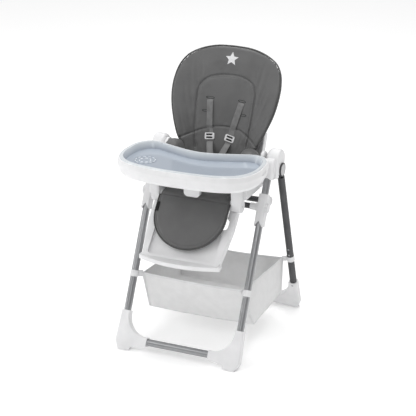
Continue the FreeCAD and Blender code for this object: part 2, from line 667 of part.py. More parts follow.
# ---------------------------------------------------------------------- footrest
rest_place = leaning(REST_LEAN, FOOT_PIVOT_Y, FOOT_PIVOT_Z)
HUB_T = 8.4
hub_x = column_x - 0.6 - HUB_T


REST_SIDE = [(REST_HALF - 18, -REST_LENGTH), (REST_HALF - 6, 87 - REST_LENGTH), (REST_HALF, 152 - REST_LENGTH),
             (REST_HALF - 1, -24)]
REST_OUTLINE = [(-x, y) for x, y in REST_SIDE] + list(reversed(REST_SIDE))


def footrest_frame():
    """U-shaped frame with hubs inside the seat's ears and a recessed lower panel."""
    low = -REST_LENGTH
    body = slab(polygon(REST_OUTLINE), -REST_DEPTH, 0)
    body = body.makeFillet(6.0, edges_at(body, lambda b: b.ZLength < 0.01 and b.YLength > 50))
    opening_half = column_x + 2
    upper = box(-opening_half, opening_half, -104, 40, -60, 60)
    upper = upper.makeFillet(14.0, edges_at(upper, lambda b: b.ZLength > 50 and b.YMax < 0))
    recess = box(-REST_HALF + 38, REST_HALF - 38, low + 10, -122, -12, 10)
    recess = recess.makeFillet(12.0, edges_at(recess, lambda b: b.ZLength > 10))
    back = box(-REST_HALF + 38, REST_HALF - 38, low + 10, -122, -REST_DEPTH - 5, -16)
    back = back.makeFillet(12.0, edges_at(back, lambda b: b.ZLength > 10))
    body = body.cut(upper).cut(recess).cut(back)
    arm = slab(polygon([(hub_x, -58), (column_x + 6, -58), (column_x + 6, -26), (hub_x, -26)]), -REST_DEPTH, 0)
    plate = Part.makeCylinder(EAR_R - 2, HUB_T, Vector(hub_x, 0, 0), X_AXIS)
    neck = box(hub_x, hub_x + HUB_T, -50, 0, -20, 0)
    body = fuse(body, arm, twin(arm), plate, twin(plate), neck, twin(neck))
    for side in (1, -1):
        ear_room = Part.makeCylinder(EAR_R + 1.5, 60, Vector(side * (column_x - 0.6), 0, 0), Vector(side, 0, 0))
        body = body.cut(ear_room)
        bore = Part.makeCylinder(EAR_PIN / 2 + RUN, HUB_T + 4, Vector(side * (hub_x - 2), 0, 0), Vector(side, 0, 0))
        body = body.cut(bore)
    return body


keep("footrest_frame", put(footrest_frame(), rest_place))


def footrest_step():
    """Bowed tread that grips the frame's lower end."""
    end_y = FOOT_PIVOT_Y - REST_LENGTH * math.sin(math.radians(REST_LEAN))
    top_z = FOOT_PIVOT_Z - REST_LENGTH * math.cos(math.radians(REST_LEAN))
    half = REST_HALF - 9
    front = [Vector(-half, end_y - 6, 0), Vector(0, end_y - STEP_BOW, 0), Vector(half, end_y - 6, 0)]
    rear = [v + Vector(0, STEP_DEPTH, 0) for v in front]
    rear[1] = Vector(0, end_y - STEP_BOW + STEP_DEPTH + 6, 0)
    edges = [Part.Arc(*front).toShape(), Part.makeLine(front[2], rear[2]),
             Part.Arc(rear[2], rear[1], rear[0]).toShape(), Part.makeLine(rear[0], front[0])]
    body = slab(Part.Face(Part.Wire(edges)), top_z - STEP_T, top_z)
    body = body.makeFillet(5.0, edges_at(body, lambda b: b.ZLength > STEP_T - 1))
    return body.makeFillet(3.0, edges_at(body, lambda b: b.ZLength < 0.01 and b.ZMax > top_z - 1))


tread_room = put(box(-300, 300, -400, 100, -14, 200), rest_place)
frame_room = put(slab(polygon(REST_OUTLINE), -REST_DEPTH, 0), rest_place)
keep("footrest_step", footrest_step().common(tread_room).cut(frame_room))


def calf_pad():
    """Half-oval pad that hangs over the footrest frame."""
    centre = -75.0
    drop = CALF_LENGTH + centre
    low = Part.Ellipse(Vector(0, centre - 0.001, 0), CALF_HALF, drop)
    arc = Part.Arc(low, math.pi, 2 * math.pi).toShape()
    left, right = Vector(-CALF_HALF, centre, 0), Vector(CALF_HALF, centre, 0)
    top_left, top_right = Vector(-CALF_HALF + 5, CALF_TOP, 0), Vector(CALF_HALF - 5, CALF_TOP, 0)
    start, end = arc.Vertexes[0].Point, arc.Vertexes[-1].Point
    edges = [arc, Part.makeLine(end, top_right), Part.makeLine(top_right, top_left), Part.makeLine(top_left, start)]
    body = slab(Part.Face(Part.Wire(Part.__sortEdges__(edges))), 0, CALF_T)
    body = body.makeFillet(7.0, edges_at(body, lambda b: b.ZLength < 0.01 and b.ZMin > CALF_T - 1))
    tilt = Placement(Vector(0, 0, 13.5), Rotation(X_AXIS, 4.4))
    return put(put(body, tilt), rest_place)


CALF_TOP = -33.0
keep("calf_pad", calf_pad())


# -------------------------------------------------------------------------- tray
TRAY_MID_Y = (TRAY_FRONT + TRAY_REAR) / 2 - 10


def tray_face(inset):
    """Kidney outline of the tray, drawn smaller by the given inset."""
    a = TRAY_HALF - inset
    front = TRAY_FRONT + inset
    rear = TRAY_REAR - inset
    dip = TRAY_REAR - 52 - inset
    half = [(0, front), (0.47 * a, front + 8), (0.89 * a, front + 56), (a, front + 126), (a, rear - 90),
            (0.935 * a, rear - 28), (0.79 * a, rear), (0.62 * a, rear - 8), (0.34 * a, (rear + dip) / 2 - 8), (0, dip)]
    left = [(-x, y) for x, y in reversed(half[1:-1])]
    return outline(half + left)


def tray_solid(levels):
    """Loft through (z, inset) levels."""
    wires = [put(tray_face(inset), Placement(Vector(0, 0, z), Rotation())).Wires[0] for z, inset in levels]
    return Part.makeLoft(wires, True, True)


def tray_base():
    top = TRAY_Z + TRAY_H
    outer = tray_solid([(TRAY_Z, 11), (TRAY_Z + 12, 5), (TRAY_Z + 42, 0), (top, 3)])
    under = tray_solid([(TRAY_Z - 1, 11 + TRAY_WALL), (TRAY_Z + 12, 5 + TRAY_WALL), (TRAY_Z + 30, TRAY_WALL)])
    dish = tray_solid([(TRAY_Z + 34, TRAY_RIM + 7), (top + 1, TRAY_RIM)])
    body = outer.cut(under).cut(dish)
    rails = []
    for side in (1, -1):
        hook_x = max(side_x, rail_outer) + SLIP
        x0, x1 = column_x + 12, hook_x + 5.5
        rail = box(x0, x1, SEAT_FRONT, -45, ARM_TOP + SLIP, TRAY_Z + 31)
        hook = box(hook_x, x1, SEAT_FRONT, -45, ARM_TOP - 12, ARM_TOP + SLIP + 1)
        piece = fuse(rail, hook)
        rails.append(piece if side > 0 else twin(piece))
    body = fuse(body, *rails)
    for side in (1, -1):
        body = body.cut(button_well(side))
    post = box(-POST_W / 2 + 6, POST_W / 2 - 6, POST_Y - 6, POST_Y + 6, TRAY_Z + 1, TRAY_Z + 31)
    return body.cut(post)


BUTTON_Y = -142.0           # tray release buttons
BUTTON_L = 44.0
BUTTON_H = 13.0
BUTTON_Z = TRAY_Z + 40.0
POST_Y = -152.0


def button_bar(side, length, height, x0, x1):
    body = box(x0, x1, BUTTON_Y - length / 2, BUTTON_Y + length / 2, BUTTON_Z - height / 2, BUTTON_Z + height / 2)
    body = body.makeFillet(height / 2 - 0.2, edges_at(body, lambda b: b.XLength > 4))
    return body if side > 0 else twin(body)


def button_well(side):
    return button_bar(side, BUTTON_L + 2 * SLIP, BUTTON_H + 2 * SLIP, TRAY_HALF - 16, TRAY_HALF + 10)


keep("tray_base", tray_base())
tray_button = button_bar(1, BUTTON_L, BUTTON_H, TRAY_HALF - 11, TRAY_HALF - 0.5)
keep_pair("tray_button", tray_button)

CUP_X = -185.0
CUP_Y = -176.0
CUP_R = 44.0


def tray_insert():
    """Lift-out dish with a rolled lip, a cup ring and a shallow cup well."""
    top = TRAY_Z + TRAY_H
    low = TRAY_Z + 34 + 0.4
    bowl = tray_solid([(low, TRAY_RIM + 7.6), (top + 0.4, TRAY_RIM + 0.6)])
    lip = tray_solid([(top + 0.4, 7), (top + 3.4, 8.5)])
    body = bowl.fuse(lip)
    hollow = tray_solid([(low + INSERT_T, TRAY_RIM + 10.4), (top + 4, TRAY_RIM + 3)])
    body = body.cut(hollow)
    floor_z = low + INSERT_T
    ring = Part.makeCylinder(CUP_R, 1.6, Vector(CUP_X, CUP_Y, floor_z - 0.2))
    ring = ring.cut(Part.makeCylinder(CUP_R - 2.4, 3, Vector(CUP_X, CUP_Y, floor_z - 1)))
    body = fuse(body, ring)
    return body.cut(Part.makeCylinder(CUP_R - 10, 3, Vector(CUP_X, CUP_Y, floor_z - 0.9)))


keep("tray_insert", tray_insert())


def tray_front_plate():
    """Blank plate set on the front of the tray."""
    outer = tray_solid([(TRAY_Z + 12, 4.2), (TRAY_Z + 42, -0.8)])
    inner = tray_solid([(TRAY_Z + 11, 5.1667), (TRAY_Z + 42, 0), (TRAY_Z + 43, -0.1)])
    window = box(-51, 51, TRAY_FRONT - 20, TRAY_FRONT + 40, TRAY_Z + 13, TRAY_Z + 41)
    return outer.cut(inner).common(window)


keep("tray_front_plate", tray_front_plate())


def crotch_post():
    """Tongue under the tray that keeps the child from sliding out."""
    half = POST_W / 2
    plate = box(-half, half, POST_Y - 9, POST_Y + 9, POST_LOW, TRAY_Z + 29)
    plate = plate.makeFillet(16.0, edges_at(plate, lambda b: b.YLength > 10 and b.ZMax < POST_LOW + 1))
    inner = box(-half + 6, half - 6, POST_Y - 6, POST_Y + 6, TRAY_Z + 1, TRAY_Z + 30)
    lower = plate.common(box(-100, 100, -400, 0, 0, TRAY_Z + 1))
    lower = lower.cut(box(-half + 4, half - 4, POST_Y - 5, POST_Y + 20, POST_LOW + 14, TRAY_Z - 4))
    return fuse(lower, inner)


keep("crotch_post", crotch_post())


# ----------------------------------------------------------------------- harness
def strap(points, across_dir, width=WEBBING, thick=WEBBING_T):
    """Flat band through points, its width along across_dir."""
    pieces = []
    for start, end in zip(points, points[1:]):
        along = end - start
        wide = across_dir.normalize() * width
        normal = along.cross(wide).normalize() * thick
        base = start - wide * 0.5 - normal * 0.5
        face = Part.Face(Part.makePolygon([base, base + wide, base + wide + normal, base + normal, base]))
        pieces.append(face.extrude(along))
    return pieces[0] if len(pieces) == 1 else fuse(*pieces)


def on_back(x, s, n):
    return back_place.multVec(Vector(x, s, n))


SHOULDER_N = BACK_PAD_T + 8.0
ADJUST_S = 112.0
STRAP_END_S = 62.0
shoulder_ends = {"right": (SLOT_HIGH_X, 24.0), "left": (-SLOT_HIGH_X, -44.0)}


def shoulder_line(side):
    top_x, low_x = shoulder_ends[side]
    return on_back(top_x, SLOT_HIGH, SHOULDER_N), on_back(low_x, STRAP_END_S, SHOULDER_N)


def shoulder_strap(side):
    """Band on the front of the back pad, with a tail through the harness slot."""
    top, low = shoulder_line(side)
    direction = low - top
    normal = back_place.Rotation.multVec(Vector(0, 0, 1))
    wide = direction.cross(normal)
    run = strap([top, low], wide)
    top_x = shoulder_ends[side][0]
    tail = box(top_x - WEBBING / 2, top_x + WEBBING / 2, SLOT_HIGH - 1.2, SLOT_HIGH + 0.6,
               -BACK_SHELL_T - 6, SHOULDER_N + WEBBING_T / 2)
    return fuse(run, put(tail, back_place))


def adjuster(side):
    """Slide that shortens the shoulder strap, a frame round the webbing."""
    top, low = shoulder_line(side)
    direction = (low - top).normalize()
    share = (SLOT_HIGH - ADJUST_S) / (SLOT_HIGH - STRAP_END_S)
    centre = top + (low - top) * share
    normal = back_place.Rotation.multVec(Vector(0, 0, 1))
    wide = direction.cross(normal).normalize()
    place = Placement(centre, Rotation(wide, direction, normal, "ZXY"))
    body = box(-20, 20, -13, 13, -4.5, 4.5)
    body = body.makeFillet(5.0, edges_at(body, lambda b: b.ZLength > 8))
    body = body.cut(box(-WEBBING / 2 - 0.5, WEBBING / 2 + 0.5, -20, 20, -WEBBING_T / 2 - 0.4, WEBBING_T / 2 + 0.4))
    for y in (-6.2, 6.2):
        body = body.cut(box(-WEBBING / 2 - 0.5, WEBBING / 2 + 0.5, y - 3.2, y + 3.2, 0, 10))
    return put(body, place)


for side in ("left", "right"):
    keep("shoulder_strap_" + side, shoulder_strap(side))
    keep("strap_adjuster_" + side, adjuster(side).cut(put(back_pad, back_place)))

BUCKLE_Y = 62.0
BUCKLE_Z = 652.0
BUCKLE_LEAN = 30.0
buckle_place = leaning(BUCKLE_LEAN, BUCKLE_Y, BUCKLE_Z)


def buckle():
    """Five-point buckle with a well for its round release button."""
    body = box(-26, 26, -22, 22, -8, 8)
    body = body.makeFillet(9.0, edges_at(body, lambda b: b.ZLength > 15))
    body = body.makeFillet(2.5, edges_at(body, lambda b: b.ZLength < 0.01 and b.ZMax > 7))
    well = Part.makeCylinder(11 + SLIP, 20, Vector(0, 0, 1))
    return put(body.cut(well), buckle_place)


buckle_solid = buckle()
keep("harness_buckle", buckle_solid)
release = Part.makeCylinder(11, 5.5, Vector(0, 0, 5))
release = release.makeFillet(1.5, edges_at(release, lambda b: b.ZMin > 10))
keep("buckle_button", put(release, buckle_place))


def lap_straps():
    """Crotch strap and the two waist straps, ending on the buckle's edges."""
    foot_end = Vector(0, CROTCH_Y, FLOOR_Z - 3)
    knee = Vector(0, CROTCH_Y, FLOOR_Z + FLOOR_T + SEAT_PAD_T + 6)
    buckle_low = buckle_place.multVec(Vector(0, -22, 0))
    parts = [fuse(*[strap([a, b], X_AXIS) for a, b in ((foot_end, knee), (knee, buckle_low))])]
    for side in (1, -1):
        inner = buckle_place.multVec(Vector(side * 26, -2, 0))
        corner = Vector(side * (pad_half - 22), 66, FLOOR_Z + FLOOR_T + SEAT_PAD_T + 14)
        parts.append(strap([inner, corner], Vector(0, 0.25, 1)))
    return Part.makeCompound(parts)


keep("lap_straps", lap_straps().cut(buckle_solid))


# ------------------------------------------------------------------------ basket
def basket_wire(inset, drop):
    half = BASKET_HALF - inset
    front, rear = BASKET_FRONT + inset, BASKET_REAR - inset
    high = [Vector(-half, front, BASKET_TOP_FRONT + drop), Vector(half, front, BASKET_TOP_FRONT + drop),
            Vector(half, rear, BASKET_TOP_REAR + drop), Vector(-half, rear, BASKET_TOP_REAR + drop)]
    half -= BASKET_SIDE_TAPER
    front += BASKET_FRONT_TAPER
    rear -= BASKET_REAR_TAPER
    level = BASKET_LOW + inset
    low = [Vector(-half, front, level), Vector(half, front, level),
           Vector(half, rear, level), Vector(-half, rear, level)]
    return [Part.makePolygon(ring + ring[:1]) for ring in (low, high)]


def basket():
    outer = Part.makeLoft(basket_wire(0, 0), True, True)
    inner = Part.makeLoft(basket_wire(BASKET_T, 2), True, True)
    return outer.cut(inner)


keep("basket", basket())
LOOP_T = 1.8


def leg_loop(centre, axis, gap, reach_y):
    """Webbing wrapped round a leg, with a tail towards the basket's corner."""
    half = axis.normalize() * (WEBBING / 2)
    ring = rod(centre - half, centre + half, TUBE + 2 * (gap + LOOP_T))
    ring = ring.cut(rod(centre - half * 1.2, centre + half * 1.2, TUBE + 2 * gap))
    tail_start = Vector(centre.x - TUBE / 2 - gap - LOOP_T / 2, centre.y, centre.z)
    tail_end = Vector(BASKET_HALF + SLIP, reach_y, centre.z)
    tail = strap([tail_start, tail_end], axis, WEBBING, LOOP_T)
    return fuse(ring, tail.cut(rod(centre - half * 1.2, centre + half * 1.2, TUBE + 2 * gap)))


front_axis = on_front_leg(300) - on_front_leg(200)
rear_axis = on_rear_leg(300) - on_rear_leg(200)
FRONT_LOOP_Z = 263.0
REAR_LOOP_Z = 246.0
front_loop = leg_loop(on_front_leg(FRONT_LOOP_Z), front_axis, 0.1, BASKET_FRONT + 6)
rear_loop = leg_loop(on_rear_leg(REAR_LOOP_Z), rear_axis, 0.1, BASKET_REAR - 10)
keep("basket_straps_front", both(front_loop))
keep("basket_straps_rear", both(rear_loop))


# --------------------------------------------------------------------- fasteners
def dome_screw(place):
    """Pan-head screw, its shank along local Z."""
    head = Part.makeSphere(4.6, Vector(0, 0, -2.2)).common(box(-9, 9, -9, 9, 0, 9))
    shank = Part.makeCylinder(1.8, 9, Vector(0, 0, -9))
    socket = Part.makeCylinder(1.2, 4, Vector(0, 0, 0.8))
    return put(fuse(head, shank).cut(socket), place)


def facing(point, direction):
    return Placement(point, Rotation(Vector(0, 0, 1), direction))


def screw_hole(place):
    return put(Part.makeCylinder(1.8, 9, Vector(0, 0, -9)), place)


rear_out = Vector(0, -math.cos(math.radians(REAR_LEAN)), math.sin(math.radians(REAR_LEAN)))
screw_places = [facing(on_rear_leg(z) + rear_out * TUBE / 2, rear_out) for z in (272.0, 300.0)]
screw_places.append(facing(on_rear_leg(REAR_FOOT_TOP - 12) + rear_out * (TUBE / 2 + FOOT_WALL), rear_out))
for place in screw_places:
    rear_leg = rear_leg.cut(screw_hole(place))
    rear_foot = rear_foot.cut(screw_hole(place))
keep_pair("rear_leg", rear_leg)
keep_pair("rear_foot", rear_foot)
leg_screws = [dome_screw(place) for place in screw_places]
keep("rear_leg_screws", Part.makeCompound(leg_screws + [twin(screw) for screw in leg_screws]))

housing_screw_place = facing(Vector(HOUSING_INNER, PIVOT_Y, PIVOT_Z + 30), Vector(-1, 0, 0))
keep("housing_screws", both(dome_screw(housing_screw_place)))
keep_pair("hinge_housing_inner", nodes["hinge_housing_inner_right"].cut(screw_hole(housing_screw_place)))


# ------------------------------------------------------------------------ export
os.makedirs("parts", exist_ok=True)
for name, shape in nodes.items():
    shape.exportStep("parts/" + name + ".step")
    b = shape.BoundBox
    print("%-26s solids %d  valid %s  X %.1f..%.1f  Y %.1f..%.1f  Z %.1f..%.1f  %.1f cm3" % (
        name, len(shape.Solids), shape.isValid(), b.XMin, b.XMax, b.YMin, b.YMax, b.ZMin, b.ZMax,
        shape.Volume / 1000))
print(len(nodes), "nodes")
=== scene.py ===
# %% [markdown]
# # A folding baby high chair
# The chair is an A-frame of tubes that carries a moulded seat, a padded back, a footrest, a tray and a
# cloth basket. Its hard pieces come from the CAD frame and only need their finish. Its soft pieces, the
# cushions, the webbing and the basket, are built here, because cloth and foam need curves that a CAD
# solid doesn't have. Lengths below are in millimetres and are turned to metres where a mesh is made.

# %% Load the frame
import json
import math

import bmesh
import bpy
import numpy as np
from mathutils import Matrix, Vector, noise
from mathutils.bvhtree import BVHTree


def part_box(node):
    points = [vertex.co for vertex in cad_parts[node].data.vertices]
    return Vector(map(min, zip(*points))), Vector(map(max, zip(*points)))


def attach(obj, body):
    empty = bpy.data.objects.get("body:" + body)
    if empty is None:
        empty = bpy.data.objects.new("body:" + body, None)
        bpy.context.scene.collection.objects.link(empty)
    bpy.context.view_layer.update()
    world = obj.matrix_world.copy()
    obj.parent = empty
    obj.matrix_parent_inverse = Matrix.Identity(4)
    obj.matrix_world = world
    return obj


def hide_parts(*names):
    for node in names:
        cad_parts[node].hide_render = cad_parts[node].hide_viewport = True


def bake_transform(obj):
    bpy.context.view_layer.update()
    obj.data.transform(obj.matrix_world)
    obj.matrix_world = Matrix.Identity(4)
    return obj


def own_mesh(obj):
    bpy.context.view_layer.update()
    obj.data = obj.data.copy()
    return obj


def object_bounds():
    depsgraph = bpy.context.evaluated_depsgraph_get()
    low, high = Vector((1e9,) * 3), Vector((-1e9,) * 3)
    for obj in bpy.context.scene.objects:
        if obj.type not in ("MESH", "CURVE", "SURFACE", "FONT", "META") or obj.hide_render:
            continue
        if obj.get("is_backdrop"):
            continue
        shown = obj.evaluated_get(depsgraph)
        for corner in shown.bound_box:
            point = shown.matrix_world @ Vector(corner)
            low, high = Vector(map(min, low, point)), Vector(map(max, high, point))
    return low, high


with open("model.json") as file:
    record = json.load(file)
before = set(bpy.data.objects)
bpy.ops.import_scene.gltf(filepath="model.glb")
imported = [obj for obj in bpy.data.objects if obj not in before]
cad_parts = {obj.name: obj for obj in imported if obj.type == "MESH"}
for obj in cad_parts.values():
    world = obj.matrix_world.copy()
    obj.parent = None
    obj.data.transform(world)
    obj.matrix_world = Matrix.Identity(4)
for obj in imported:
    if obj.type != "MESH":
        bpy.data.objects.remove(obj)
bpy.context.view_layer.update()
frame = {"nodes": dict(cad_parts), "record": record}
scene = bpy.context.scene

# %% [markdown]
# ## Small helpers
# A colour is easiest to read as the hex value a paint chart gives, but a shader wants linear light, so one
# function turns the first into the second. One more function adds a shader node with its settings and links.
# One more starts a material with its shader, and the last turns a list of points into a mesh piece.

# %% Helpers
MM = 0.001


def linear(hex_colour):
    """sRGB hex to linear red, green, blue and alpha."""
    parts = [int(hex_colour[i:i + 2], 16) / 255 for i in (1, 3, 5)]
    return tuple(c / 12.92 if c <= 0.04045 else ((c + 0.055) / 1.055) ** 2.4 for c in parts) + (1.0,)


def add(material, kind, values=None, links=None, **settings):
    """Adds a node, sets its properties and socket values, and links outputs into its sockets."""
    node = material.node_tree.nodes.new(kind)
    for key, value in settings.items():
        setattr(node, key, value)
    for key, value in (values or {}).items():
        node.inputs[key].default_value = value
    for key, output in (links or {}).items():
        material.node_tree.links.new(output, node.inputs[key])
    return node


def start_material(name, colour, **values):
    """A material with its shader; values are the shader's own sockets."""
    material = bpy.data.materials.new(name)
    material.use_nodes = True
    shader = material.node_tree.nodes["Principled BSDF"]
    shader.inputs["Base Color"].default_value = linear(colour)
    for key, value in values.items():
        shader.inputs[key.replace("_", " ")].default_value = value
    material.diffuse_color = linear(colour)
    return material, shader


def mesh_piece(name, points, faces, material, smooth=True):
    """Points in millimetres."""
    mesh = bpy.data.meshes.new(name)
    mesh.from_pydata([tuple(c * MM for c in p) for p in points], [], faces)
    mesh.validate()
    piece = bpy.data.objects.new(name, mesh)
    scene.collection.objects.link(piece)
    mesh.materials.append(material)
    mesh.polygons.foreach_set("use_smooth", [smooth] * len(mesh.polygons))
    cleaner = bmesh.new()
    cleaner.from_mesh(mesh)
    bmesh.ops.recalc_face_normals(cleaner, faces=cleaner.faces)
    cleaner.to_mesh(mesh)
    cleaner.free()
    return piece


print("mid grey #808080 is", [round(c, 3) for c in linear("#808080")[:3]], "in linear light")

# %% [markdown]
# ## Camera
# A product picture is taken from far away with a long lens, so that upright lines stay parallel. The camera
# stands 5.9 m from the chair, to its right and a little above it.

# %% Camera
camera = bpy.data.objects.new("camera", bpy.data.cameras.new("camera"))
scene.collection.objects.link(camera)
camera.location = (2.148, -4.9985, 2.683)
camera_aim = Vector((-0.031, 0.0685, 0.4797))
camera.rotation_euler = (camera_aim - camera.location).to_track_quat("-Z", "Y").to_euler()
camera.data.sensor_width = 36.0
camera.data.lens = 129.74
camera.data.clip_end = 100.0
scene.camera = camera
print("camera distance", round((camera_aim - camera.location).length, 2), "m")

# %% [markdown]
# ## Light and floor
# White furniture on a white floor needs soft light from all sides, or its shadows look dirty. Studios stand it
# on white acrylic that is lit from below, so the floor stays white and the shadow stays faint. Polished tubes
# need the opposite: edges between light and dark to mirror. So the sky is bright above and darker in a band
# near the horizon, and two tall softboxes in front draw the long streaks on the legs.

# %% Light and floor
scene.view_settings.view_transform = "Standard"
sky = bpy.data.worlds.new("studio")
scene.world = sky
sky.use_nodes = True
direction = add(sky, "ShaderNodeTexCoord")
height = add(sky, "ShaderNodeSeparateXYZ", links={"Vector": direction.outputs["Generated"]})
band = add(sky, "ShaderNodeValToRGB", links={"Fac": height.outputs["Z"]})
for place, level in ((0.12, 0.34), (0.34, 0.42), (0.52, 0.95)):
    stop = band.color_ramp.elements.new(place)
    stop.color = (level, level, level, 1)
band.color_ramp.elements[0].color = (0.8, 0.8, 0.8, 1)
band.color_ramp.elements[-1].color = (1.0, 1.0, 1.0, 1)
background = sky.node_tree.nodes["Background"]
background.inputs["Strength"].default_value = 0.80
sky.node_tree.links.new(band.outputs["Color"], background.inputs["Color"])


def softbox(name, place, aim, width, tall, watts):
    lamp = bpy.data.lights.new(name, "AREA")
    lamp.shape, lamp.size, lamp.size_y, lamp.energy = "RECTANGLE", width, tall, watts
    holder = bpy.data.objects.new(name, lamp)
    scene.collection.objects.link(holder)
    holder.location = place
    holder.rotation_euler = (Vector(aim) - Vector(place)).to_track_quat("-Z", "Y").to_euler()
    return holder


softbox("key", (-2.6, -3.4, 3.4), (0, 0, 0.5), 1.6, 2.2, 24)
softbox("streak_left", (-3.2, -1.6, 1.4), (0, 0, 0.6), 0.22, 2.8, 17)
softbox("streak_right", (1.1, -4.2, 3.2), (0, 0, 0.5), 0.26, 2.6, 18)
softbox("top", (0.2, 0.4, 4.2), (0, 0, 0), 2.6, 2.6, 52)
softbox("rim", (-1.6, 3.4, 4.6), (0, 0, 0.7), 1.6, 0.5, 34)
floor_finish, floor_shader = start_material("lit_white_acrylic", "#f7f7f7", Roughness=0.95, Emission_Strength=0.2,
                                             Emission_Color=linear("#ffffff"))
card_grain = add(floor_finish, "ShaderNodeTexNoise", {"Scale": 400.0})
card_bump = add(floor_finish, "ShaderNodeBump", {"Strength": 0.02, "Distance": 0.0005},
                {"Height": card_grain.outputs["Fac"]})
floor_finish.node_tree.links.new(card_bump.outputs["Normal"], floor_shader.inputs["Normal"])
studio_floor = mesh_piece("studio_floor", [(-9000, -9000, -0.4), (9000, -9000, -0.4), (9000, 9000, -0.4),
                                           (-9000, 9000, -0.4)], [(0, 1, 2, 3)], floor_finish, False)
studio_floor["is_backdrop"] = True

# %% [markdown]
# ## Finishes of the hard pieces
# The legs are steel tube with a smooth metallic lacquer: the metal below gives long bright streaks, and the
# clear coat keeps them sharp. The rear legs have a powder coat, which is baked on as dust, so it looks matt
# with a fine orange-peel. The mouldings are ABS and polypropylene from a tool with a spark-eroded skin: about
# 0.3 mm grit that breaks up the highlight. It is drawn at 1.2 mm, or it wouldn't show at this size. The loose
# tray is tinted, see-through polypropylene, blue-grey in its dish; towards the rim's top its colour is painted
# near white, a painted highlight.

# %% Metals
def fine_bump(material, shader, size_mm, strength, depth_mm, kind="ShaderNodeTexNoise", detail=3.0):
    """Grain of the given size; a noise cell is about 1 / scale metres across."""
    place = add(material, "ShaderNodeTexCoord")
    grain = add(material, kind, {"Scale": 1000.0 / size_mm}, {"Vector": place.outputs["Object"]})
    if kind == "ShaderNodeTexNoise":
        grain.inputs["Detail"].default_value = detail
    bump = add(material, "ShaderNodeBump", {"Strength": strength, "Distance": depth_mm * MM},
               {"Height": grain.outputs[0]})
    material.node_tree.links.new(bump.outputs["Normal"], shader.inputs["Normal"])
    return place, bump


def vary_roughness(material, shader, place, size_mm, low, high):
    """Hands and cloths polish a surface unevenly."""
    cloud = add(material, "ShaderNodeTexNoise", {"Scale": 1000.0 / size_mm, "Detail": 4.0},
                {"Vector": place.outputs["Object"]})
    limits = {"From Min": 0.35, "From Max": 0.65, "To Min": low, "To Max": high}
    spread = add(material, "ShaderNodeMapRange", limits, {"Value": cloud.outputs["Fac"]})
    material.node_tree.links.new(spread.outputs["Result"], shader.inputs["Roughness"])
    return cloud


def vary_colour(material, shader, cloud, dark, light):
    """Two near tones, mixed by the same cloud."""
    tones = add(material, "ShaderNodeValToRGB", links={"Fac": cloud.outputs["Fac"]})
    tones.color_ramp.elements[0].position, tones.color_ramp.elements[1].position = 0.35, 0.65
    tones.color_ramp.elements[0].color, tones.color_ramp.elements[1].color = linear(dark), linear(light)
    material.node_tree.links.new(tones.outputs["Color"], shader.inputs["Base Color"])


lacquered_steel, shader = start_material("lacquered_steel_tube", "#9a9b9d", Metallic=0.85, Coat_Weight=0.3,
                                         Coat_Roughness=0.3)
place = add(lacquered_steel, "ShaderNodeTexCoord")
vary_colour(lacquered_steel, shader, vary_roughness(lacquered_steel, shader, place, 90, 0.28, 0.32),
            "#98999b", "#9d9ea0")

powder_coat, shader = start_material("powder_coated_steel", "#4c4c4e", Metallic=0.25)
place, _ = fine_bump(powder_coat, shader, 3.0, 0.05, 0.05)
vary_colour(powder_coat, shader, vary_roughness(powder_coat, shader, place, 45, 0.42, 0.55), "#474749", "#515153")

zinc_steel, shader = start_material("zinc_plated_steel", "#a9abae", Metallic=1.0)
place, _ = fine_bump(zinc_steel, shader, 0.8, 0.08, 0.02)
vary_roughness(zinc_steel, shader, place, 12, 0.25, 0.42)
print("metals ready")

# %% [markdown]
# The mouldings differ only in colour and in how worn they are, so one function makes them all. The loose tray
# has its own, with a colour that follows its height: blue-grey low down and painted paler towards the top, a
# painted highlight on the rim.

# %% Moulded plastics
def moulded(name, colour, dark, light, low, high):
    material, shader = start_material(name, colour, IOR=1.53)
    place, _ = fine_bump(material, shader, 1.2, 0.05, 0.05)
    vary_colour(material, shader, vary_roughness(material, shader, place, 70, low, high), dark, light)
    return material


white_abs = moulded("white_abs", "#e7e7e8", "#e3e3e4", "#ebebec", 0.28, 0.38)
grey_abs = moulded("light_grey_abs", "#dededf", "#dadadb", "#e2e2e3", 0.34, 0.45)
button_abs = moulded("mid_grey_abs", "#b8b8b9", "#b4b4b5", "#bcbcbd", 0.3, 0.42)
black_abs = moulded("black_abs", "#303032", "#2b2b2d", "#363638", 0.35, 0.5)
rubber_finish = moulded("black_rubber", "#1d1d1e", "#191919", "#242425", 0.7, 0.85)
clear_tray, shader = start_material("tinted_polypropylene", "#a9b1bd", IOR=1.49, Transmission_Weight=0.15,
                                    Coat_Weight=0.8, Coat_Roughness=0.05)
place, _ = fine_bump(clear_tray, shader, 3.0, 0.02, 0.05)
vary_roughness(clear_tray, shader, place, 90, 0.12, 0.2)
# Painted highlight: the colour runs from blue-grey low in the tray to near white at the top of its rim.
box_place = add(clear_tray, "ShaderNodeTexCoord")
box_height = add(clear_tray, "ShaderNodeSeparateXYZ", links={"Vector": box_place.outputs["Generated"]})
rim_painted_highlight = add(clear_tray, "ShaderNodeValToRGB", links={"Fac": box_height.outputs["Z"]})
rim_painted_highlight.color_ramp.elements[0].position, rim_painted_highlight.color_ramp.elements[0].color = 0.12, linear("#b5beca")
rim_painted_highlight.color_ramp.elements[1].position, rim_painted_highlight.color_ramp.elements[1].color = 0.9, linear("#eef3f7")
clear_tray.node_tree.links.new(rim_painted_highlight.outputs["Color"], shader.inputs["Base Color"])
# The ribs are the tray's tinted plastic; their pale colour is a painted highlight.
painted_rib_highlight, shader = start_material("polypropylene_rib_painted_highlight", "#dfe5ec", IOR=1.49, Coat_Weight=0.5)
place, _ = fine_bump(painted_rib_highlight, shader, 1.5, 0.02, 0.05)
vary_roughness(painted_rib_highlight, shader, place, 20, 0.1, 0.2)
print("plastics:", white_abs.name, grey_abs.name, black_abs.name, clear_tray.name)

